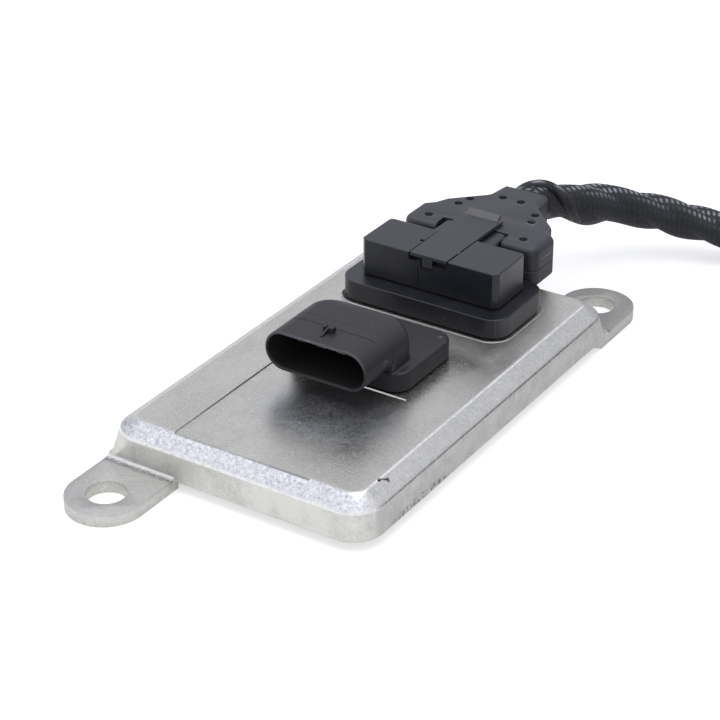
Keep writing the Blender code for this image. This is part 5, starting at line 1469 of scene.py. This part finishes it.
def coil_points(lead):
    """The wound part: two turns and a quarter, each on top of the last."""
    points = []
    count = 40
    for index in range(count * 9 // 4 + 1):
        turns = index / count
        angle = 2 * math.pi * turns
        shares = [min(max((turns - start) / 0.20, 0.0), 1.0) for start in (0.80, 1.80)]
        climb = sum((1 - math.cos(math.pi * share)) / 2 for share in shares)
        height = lead.radius + 0.0001 + climb * (2 * lead.radius + 0.0001)
        points.append((COIL_CENTRE[0] + lead.coil_radius * math.sin(angle),
                       COIL_CENTRE[1] + lead.coil_radius * math.cos(angle), height))
    return points


def smooth_path(points, spacing):
    """Evenly spaced points along a smooth curve through the given ones."""
    nodes = [Vector(point) for point in points]
    padded = [2 * nodes[0] - nodes[1]] + nodes + [2 * nodes[-1] - nodes[-2]]
    dense = []
    for index in range(1, len(padded) - 2):
        before, start, end, after = padded[index - 1:index + 3]
        for step in range(24):
            t = step / 24
            dense.append(0.5 * (2 * start + (end - before) * t + (2 * before - 5 * start + 4 * end - after) * t ** 2
                                + (3 * start - before - 3 * end + after) * t ** 3))
    dense.append(nodes[-1])
    lengths = [0.0]
    for first, second in zip(dense, dense[1:]):
        lengths.append(lengths[-1] + (second - first).length)
    count = round(lengths[-1] / spacing)
    path = []
    place = 0
    for index in range(count + 1):
        wanted = lengths[-1] * index / count
        while place < len(dense) - 2 and lengths[place + 1] < wanted:
            place += 1
        share = (wanted - lengths[place]) / max(lengths[place + 1] - lengths[place], 1e-9)
        path.append(dense[place].lerp(dense[place + 1], min(share, 1.0)))
    return path, lengths[-1]


def relaxed(path, rounds):
    """The path with its small wiggles smoothed out and its ends kept."""
    for _ in range(rounds):
        path = [path[0]] + [(a + 2 * b + c) / 4 for a, b, c in zip(path, path[1:], path[2:])] + [path[-1]]
    return path


def path_frames(path):
    """Direction, side and up at each point of a path, without sudden turns."""
    frames = []
    up = Vector((0.0, 0.0, 1.0))
    for index in range(len(path)):
        ahead = (path[min(index + 1, len(path) - 1)] - path[max(index - 1, 0)]).normalized()
        across = ahead.cross(up).normalized()
        up = across.cross(ahead)
        frames.append((ahead, across, up))
    return frames


def sleeve_radius(lead, angle, along, length):
    """Radius of the twisted sleeve at an angle and a distance: lobes, lumps, a swelling near the shell, tucked ends."""
    twist = 2 * math.pi * along / lead.pitch + 0.35 * math.sin(along * 61) + 0.2 * math.sin(along * 143)
    lobe = abs(math.cos(lead.strands * (angle + twist) / 2))
    lumps = 0.00013 * math.sin(along * 310 + 2.1 * math.sin(angle + along * 90))
    lumps += 0.00012 * math.sin(along * 171 + 1.3)
    swelling = 0.00095 * math.exp(-((along - 0.0205) / 0.0060) ** 2)
    swelling -= 0.00035 * math.exp(-((along - 0.008) / 0.004) ** 2)
    ends = min(along, length - along)
    tuck = 1.0 - 0.15 * max(0.0, 1 - ends / 0.004) ** 2
    return (lead.radius + lead.lobe * (1.7 * lobe - 1.25) + lumps + swelling) * tuck


def add_tube(bm, uv_layer, centres, frames, radius_at, sides, rib, rows):
    """Skin a tube round a line of centres, with a UV map that counts ribs along it and rows around it."""
    rings = []
    travel = [0.0]
    for first, second in zip(centres, centres[1:]):
        travel.append(travel[-1] + (second - first).length)
    for place, (_, across, up), along in zip(centres, frames, travel):
        ring = []
        for side in range(sides):
            angle = 2 * math.pi * side / sides
            outwards = across * math.cos(angle) + up * math.sin(angle)
            ring.append(bm.verts.new(place + outwards * radius_at(angle, along)))
        rings.append(ring)
    for index, (ring, following) in enumerate(zip(rings, rings[1:])):
        for side in range(sides):
            after = (side + 1) % sides
            face = bm.faces.new((ring[side], ring[after], following[after], following[side]))
            corners = ((index, side), (index, side + 1), (index + 1, side + 1), (index + 1, side))
            for loop, (row, column) in zip(face.loops, corners):
                loop[uv_layer].uv = (travel[row] / rib, column / sides * rows)
    bm.faces.new(reversed(rings[0]))
    bm.faces.new(rings[-1])


def make_lead(lead):
    """Twisted strands under a woven sleeve, and the loose strand that loops over the sleeve's start."""
    route = [LEAD_START, *LEAD_ROUTE, *coil_points(lead), *TAIL_ROUTE, LEAD_END]
    path, _ = smooth_path(route, 0.0011)
    path = relaxed(path, 6)
    length = sum((b - a).length for a, b in zip(path, path[1:]))
    frames = path_frames(path)
    bm = bmesh.new()
    uv_layer = bm.loops.layers.uv.new("lead")
    add_tube(bm, uv_layer, path, frames, lambda angle, along: sleeve_radius(lead, angle, along, length), 48,
             lead.rib, 12)
    strand = []
    for index in range(19):
        share = index / 18
        angle = math.radians(140 - 235 * share)
        _, across, up = frames[index]
        lift = lead.radius - 0.0003 + 0.0007 * math.sin(math.pi * min(1.0, share * 1.15))
        lift -= 0.0016 * max(0.0, share - 0.8) / 0.2
        strand.append(path[index] + (across * math.cos(angle) + up * math.sin(angle)) * lift)
    strand, _ = smooth_path(strand, 0.0005)
    add_tube(bm, uv_layer, strand, path_frames(strand), lambda angle, along: lead.strand_radius, 16, lead.rib * 4, 2)
    return new_piece("lead", bm), path, length


class SENSOR_OT_lead(bpy.types.Operator):
    """Lay the woven lead from the shell to the probe"""
    bl_idname = "sensor.lead"
    bl_label = "Lead"

    def execute(self, context):
        lead = context.scene.sensor_lead
        piece, path, length = make_lead(lead)
        present(piece, woven_fabric(lead), ["sensor_cable", "cable_coil", "cable_tail"], angle=60)
        return {"FINISHED"}


# Probe, along local Z from the boot to the tip


def probe_matrix():
    """Stands the probe's local Z along -Y at the boot's end."""
    low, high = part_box("probe_boot")
    return Matrix.Translation(((low.x + high.x) / 2, high.y, (low.z + high.z) / 2)) @ ALONG_MINUS_Y


def local_span(node):
    """A probe node's start and end along the probe."""
    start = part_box("probe_boot")[1].y
    low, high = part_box(node)
    return start - high.y, start - low.y


def make_boot(matrix):
    """Tapered rubber boot with ribs."""
    start, end = local_span("probe_boot")
    grip = end - 0.008
    profile = [(0.0036, start, 0.0), (0.0052, start, 0.0004), (0.0052, start + 0.003, 0.0008)]
    for rib in range(4):
        z = start + 0.0042 + rib * 0.0022
        radius = 0.0054 + rib * 0.00045
        profile += [(radius, z, 0.0002), (radius + 0.0005, z + 0.0006, 0.0003), (radius + 0.0005, z + 0.0012, 0.0003),
                    (radius + 0.0001, z + 0.0017, 0.0002)]
    profile += [(0.0080, grip, 0.0008), (0.0080, end, 0.0005), (0.00705, end, 0.0), (0.00705, grip, 0.0),
                (0.0036, grip, 0.0)]
    return turned("rubber_boot", profile, 64, 3, matrix)


def make_sleeve(matrix):
    """Drawn steel sleeve with crimps."""
    start, end = local_span("probe_sleeve")
    radius = 0.00675
    profile = [(radius - 0.0006, start, 0.0), (radius, start, 0.0002)]
    for at in (0.0125, 0.0165):
        z = start + at
        profile += [(radius, z, 0.0002), (radius - 0.0004, z + 0.0005, 0.0003), (radius - 0.0004, z + 0.0013, 0.0003),
                    (radius, z + 0.0018, 0.0002)]
    profile += [(radius, end, 0.00015), (radius - 0.0006, end, 0.0)]
    return turned("steel_sleeve", profile, 72, 3, matrix)


def make_hexagon_body(probe, matrix):
    """Hexagon with chamfered corners, collar, undercut and the thread's core."""
    start, end = local_span("probe_body")
    collar = 0.00585
    hex_start = start + 0.006
    hex_end = hex_start + probe.hex_height
    core = probe.thread_radius - 0.0007
    undercut = probe.thread_radius - 0.0009
    shoulder = hex_end + 0.0022
    profile = [(0.0046, start, 0.0), (collar, start, 0.0002), (collar, hex_start + OVERRUN, 0.0),
               (undercut, hex_start + OVERRUN, 0.0), (undercut, shoulder, 0.0), (core, shoulder, 0.0),
               (core, end - 0.0008, 0.0), (core - 0.0006, end, 0.0001), (0.0063, end, 0.0001),
               (0.0063, end - 0.003, 0.0), (0.0046, end - 0.003, 0.0)]
    body = turned("hexagon_body", profile, 72, 3)
    corner = probe.hex_flats / 2 / math.cos(math.pi / 6)
    outline = circle(corner, 6), [0.0003] * 6
    hexagon = stacked("hexagon", [(outline, hex_start), (outline, hex_end)], steps=3)
    flats, reach = probe.hex_flats / 2, corner + 0.0001
    dome = turned("dome", [(0.0, hex_start, 0.0), (flats - 0.0002, hex_start, 0.0), (reach, hex_start + 0.0012, 0.0),
                           (reach, hex_end - 0.0009, 0.0), (flats - 0.0001, hex_end, 0.0), (0.0, hex_end, 0.0)], 96)
    combined(hexagon, [dome], "INTERSECT")
    cut(hexagon, drill("core", (0.0, 0.0), 0.0052, (hex_start - OVERRUN, hex_end + OVERRUN), 48))
    fuse(body, hexagon)
    body.data.transform(matrix)
    return body


def make_thread(probe, matrix, steel):
    """Turns of the thread, set side by side by a geometry tree."""
    start, end = local_span("probe_body")
    first = start + 0.006 + probe.hex_height + 0.0022
    pitch = probe.thread_pitch
    count = int((end - 0.0008 - first) / pitch)
    outer = probe.thread_radius
    root = outer - 0.0009
    profile = [(root, 0.0, 0.0), (outer, pitch * 0.44, 0.0), (outer, pitch * 0.56, 0.0), (root, pitch, 0.0)]
    ring = turned("ring", profile, 72)
    tree = NodeShape("Thread", (("Geometry", "Geometry", None), ("Ring", "Object", None), ("Count", "Int", 6),
                                ("Pitch", "Float", 0.0015), ("Start", "Float", 0.0)))
    inputs = {"Count": tree.source["Count"], "Start Location": tree.lifted(tree.source["Start"]),
              "Offset": tree.lifted(tree.source["Pitch"])}
    line = tree.node("GeometryNodeMeshLine", inputs, mode="OFFSET")
    tree.finish(tree.instances(line.outputs[0], tree.object_mesh("Ring")), steel)
    piece = points_piece("thread_turns", [(0, 0, 0)])
    tree.grow(piece, ring=ring, count=count, pitch=pitch, start=first)
    bpy.data.objects.remove(ring)
    piece.data.transform(matrix)
    return piece


def make_guard(probe, matrix, steel):
    """Outer perforated cap; a geometry tree cuts its rows of holes."""
    start, end = local_span("outer_cap")
    radius = 0.0060
    wall = 0.0004
    profile = [(radius, start, 0.0), (radius, end, 0.0011), (0.0, end, 0.0), (0.0, end - wall, 0.0),
               (radius - wall, end - wall, 0.0008), (radius - wall, start, 0.0)]
    guard = turned("outer_guard", profile, 72, 5)
    inputs = (("Geometry", "Geometry", None), ("Holes", "Int", 6), ("Radius", "Float", 0.0011),
              ("First row", "Float", 0.0), ("Second row", "Float", 0.0), ("Reach", "Float", 0.006),
              ("Nose", "Float", 0.0012), ("End", "Float", 0.0))
    tree = NodeShape("Perforations", inputs)
    peg = tree.node("GeometryNodeMeshCylinder", {"Vertices": 20, "Radius": tree.source["Radius"], "Depth": 0.004})
    rows = []
    for row in ("First row", "Second row"):
        ring = tree.node("GeometryNodeMeshCircle", {"Vertices": tree.source["Holes"], "Radius": tree.source["Reach"]})
        lift = {"Geometry": ring.outputs[0], "Translation": tree.lifted(tree.source[row])}
        moved = tree.node("GeometryNodeTransform", lift)
        position = tree.node("GeometryNodeInputPosition").outputs[0]
        flat = tree.node("ShaderNodeVectorMath", {0: position, 1: (1.0, 1.0, 0.0)}, operation="MULTIPLY")
        facing = tree.node("FunctionNodeAlignEulerToVector", {"Vector": flat.outputs[0]}, axis="Z")
        rows.append(tree.instances(moved.outputs[0], peg.outputs[0], facing.outputs[0]))
    nose_peg = tree.node("GeometryNodeMeshCylinder", {"Vertices": 24, "Radius": tree.source["Nose"], "Depth": 0.003})
    lift = {"Geometry": nose_peg.outputs[0], "Translation": tree.lifted(tree.source["End"])}
    nose = tree.node("GeometryNodeTransform", lift)
    joined = tree.node("GeometryNodeJoinGeometry")
    for part in (*rows, nose.outputs[0]):
        tree.tree.links.new(part, joined.inputs[0])
    real = tree.node("GeometryNodeRealizeInstances", {"Geometry": joined.outputs[0]})
    cutting = tree.node("GeometryNodeMeshBoolean", None, operation="DIFFERENCE")
    tree.tree.links.new(tree.source["Geometry"], cutting.inputs[0])
    tree.tree.links.new(real.outputs[0], cutting.inputs[1])
    tree.finish(cutting.outputs[0], steel)
    tree.grow(guard, holes=probe.cap_holes, radius=0.0011, first_row=end - 0.005, second_row=end - 0.0115,
              reach=radius, end=end)
    guard.data.transform(matrix)
    return guard


class SENSOR_OT_probe(bpy.types.Operator):
    """Build the exhaust probe at the lead's end"""
    bl_idname = "sensor.probe"
    bl_label = "Probe"

    def execute(self, context):
        probe = context.scene.sensor_probe
        matrix = probe_matrix()
        steel = probe_steel(context)
        copper = plain_metal("copper_ring", (0.62, 0.34, 0.22), 0.35)
        present(make_boot(matrix), black_rubber(), ["probe_boot"], angle=40)
        present(make_sleeve(matrix), steel, ["probe_sleeve"], angle=40)
        present(make_hexagon_body(probe, matrix), steel, ["probe_body"], angle=25)
        present(make_thread(probe, matrix, steel), steel, angle=25)
        start, end = local_span("sealing_ring")
        inner, outer = probe.thread_radius - 0.0006, 0.0109
        profile = [(inner, start, 0.0), (outer, start, 0.0005), (outer, end, 0.0005), (inner, end, 0.0)]
        ring = turned("crush_ring", profile, 72, 4, matrix)
        present(ring, copper, ["sealing_ring"], angle=40)
        present(make_guard(probe, matrix, steel), steel, ["outer_cap"], angle=35)
        return {"FINISHED"}


# Pieces that keep their solids


INNER_FINISHES = {
    "black_rubber": ("cover_seal", "header_seal"),
    "board": ("circuit_board",),
    "epoxy": ("controller_chip", "driver_chip"),
    "ferrite": ("power_coil",),
    "can": ("buffer_capacitor_1", "buffer_capacitor_2"),
    # The header pins' tin is painted dark, as painted shade deep in the socket
    "tin": numbered("header_pin", 4),
    "gold": numbered("sensor_pin", 8) + numbered("plug_contact", 8),
    "probe_steel": ("inner_cap",),
    "insulator": ("element_insulator",),
    "element": ("sensing_element",),
}


class SENSOR_OT_inner(bpy.types.Operator):
    """Finish the pieces inside that keep their own solids"""
    bl_idname = "sensor.inner"
    bl_label = "Inner pieces"

    def execute(self, context):
        finishes = {
            "black_rubber": black_rubber(),
            "board": matt_solid("board", (0.015, 0.11, 0.045), 0.45),
            "epoxy": matt_solid("epoxy", (0.015, 0.015, 0.016), 0.55),
            "ferrite": matt_solid("ferrite", (0.04, 0.04, 0.045), 0.7),
            "can": plain_metal("can", (0.55, 0.55, 0.57), 0.35),
            # Dark tin: painted shade for the header pins deep in the socket
            "tin": plain_metal("tin", (0.09, 0.088, 0.083), 0.55),
            "gold": plain_metal("gold", (0.80, 0.56, 0.24), 0.28),
            "probe_steel": probe_steel(context),
            "insulator": matt_solid("insulator", (0.70, 0.68, 0.62), 0.55),
            "element": matt_solid("element", (0.80, 0.79, 0.74), 0.45),
        }
        for finish, nodes in INNER_FINISHES.items():
            for node in nodes:
                for slot in bpy.data.objects[node].material_slots:
                    slot.material = finishes[finish]
        return {"FINISHED"}


# Stage


def aimed_light(name, place, target, width, power):
    """Soft square light aimed at a point."""
    light = bpy.data.lights.new(name, "AREA")
    light.size = width
    light.energy = power
    lamp = bpy.data.objects.new(name, light)
    lamp.location = place
    lamp.rotation_euler = (Vector(place) - Vector(target)).to_track_quat("Z", "Y").to_euler()
    bpy.context.scene.collection.objects.link(lamp)


def make_world():
    """Soft surroundings: white to the camera, and graded greys to the object."""
    world = bpy.data.worlds.new("surroundings")
    bpy.context.scene.world = world
    world.use_nodes = True
    tree = world.node_tree
    s = Shading(tree)
    background = tree.nodes["Background"]
    direction = s.node("SeparateXYZ", {0: s.node("TexCoord").outputs["Generated"]})
    behind = s.fade(direction.outputs["Y"], 0.0, 0.60)
    low = s.fade(direction.outputs["Z"], 0.45, 0.85, 1.0, 0.0)
    zenith = s.fade(direction.outputs["Z"], 0.78, 1.0)
    level = s.math("SUBTRACT", s.total(0.90, s.times(zenith, 0.22)), s.times(behind, low, 0.27))
    camera = s.node("LightPath").outputs["Is Camera Ray"]
    grey = s.node("CombineColor", {0: level, 1: s.times(level, 1.015), 2: s.times(level, 1.09)}).outputs[0]
    colour = s.mix(camera, grey, (1.0, 1.0, 1.0, 1.0))
    tree.links.new(colour, background.inputs["Color"])


def make_floor():
    """Pale floor that turns white for the camera and keeps the soft shadow."""
    floor = drill("floor", (0.0, 0.0), 3.0, (-0.01, -0.00002), 64)
    material = bpy.data.materials.new("pale_floor")
    material.use_nodes = True
    tree = material.node_tree
    s = Shading(tree)
    shader = tree.nodes["Principled BSDF"]
    shader.inputs["Base Color"].default_value = (0.62, 0.62, 0.62, 1.0)
    shader.inputs["Roughness"].default_value = 0.9
    shader.inputs["Specular IOR Level"].default_value = 0.0
    shader.inputs["Emission Color"].default_value = (1.0, 1.0, 1.0, 1.0)
    path = s.node("LightPath")
    seen = s.total(s.times(path.outputs["Is Camera Ray"], 0.55), s.times(path.outputs["Is Glossy Ray"], 0.30))
    tree.links.new(seen, shader.inputs["Emission Strength"])
    floor.data.materials.append(material)


class SENSOR_OT_stage(bpy.types.Operator):
    """Set the camera, the lights and the floor"""
    bl_idname = "sensor.stage"
    bl_label = "Stage"

    def execute(self, context):
        stage = context.scene.sensor_stage
        azimuth, elevation, roll = (math.radians(value) for value in (stage.azimuth, stage.elevation, stage.roll))
        away = math.cos(elevation)
        back = Vector((math.sin(azimuth) * away, -math.cos(azimuth) * away, math.sin(elevation)))
        right = Vector((math.cos(azimuth), math.sin(azimuth), 0.0))
        up = back.cross(right)
        right, up = right * math.cos(roll) + up * math.sin(roll), up * math.cos(roll) - right * math.sin(roll)
        camera = bpy.data.objects.new("camera", bpy.data.cameras.new("camera"))
        camera.data.lens = stage.lens
        camera.data.sensor_width = 36.0
        camera.data.clip_start = 0.01
        camera.data.clip_end = 20.0
        camera.location = stage.place
        camera.rotation_euler = Matrix((right, up, back)).transposed().to_euler()
        context.scene.collection.objects.link(camera)
        context.scene.camera = camera
        context.scene.view_settings.view_transform = "Standard"
        make_world()
        make_floor()
        middle = (0.0, 0.0, 0.01)
        aimed_light("overhead", (0.22, 0.0, 1.1), middle, 0.50, 1.7)
        aimed_light("front_left", (-0.52, -0.24, 0.95), middle, 0.32, 0.9)
        return {"FINISHED"}


class SENSOR_PT_panel(bpy.types.Panel):
    """Lists the operators and their settings."""
    bl_idname = "SENSOR_PT_panel"
    bl_label = "Nitrogen oxide sensor"
    bl_space_type = "VIEW_3D"
    bl_region_type = "UI"
    bl_category = "Sensor"

    def draw(self, context):
        for operator in OPERATORS:
            self.layout.operator(operator.bl_idname)
        for name, group in SETTINGS.items():
            box = self.layout.box()
            box.label(text=group.__doc__)
            for field in group.__annotations__:
                box.prop(getattr(context.scene, name), field)


OPERATORS = (SENSOR_OT_stage, SENSOR_OT_case, SENSOR_OT_base, SENSOR_OT_socket, SENSOR_OT_pedestal, SENSOR_OT_plug,
             SENSOR_OT_shell, SENSOR_OT_probe, SENSOR_OT_lead, SENSOR_OT_inner)


def register():
    """Register the settings, the operators and the panel."""
    for name, group in SETTINGS.items():
        bpy.utils.register_class(group)
        setattr(bpy.types.Scene, name, PointerProperty(type=group))
    for item in (*OPERATORS, SENSOR_PT_panel):
        bpy.utils.register_class(item)


def unregister():
    """Take everything out again."""
    for item in (SENSOR_PT_panel, *reversed(OPERATORS)):
        bpy.utils.unregister_class(item)
    for name, group in SETTINGS.items():
        delattr(bpy.types.Scene, name)
        bpy.utils.unregister_class(group)


def main():
    """Build every piece."""
    register()
    bpy.ops.sensor.stage()
    bpy.ops.sensor.case()
    bpy.ops.sensor.base()
    bpy.ops.sensor.socket()
    bpy.ops.sensor.pedestal()
    bpy.ops.sensor.plug()
    bpy.ops.sensor.shell()
    bpy.ops.sensor.probe()
    bpy.ops.sensor.lead()
    bpy.ops.sensor.inner()


if __name__ == "__main__":
    main()
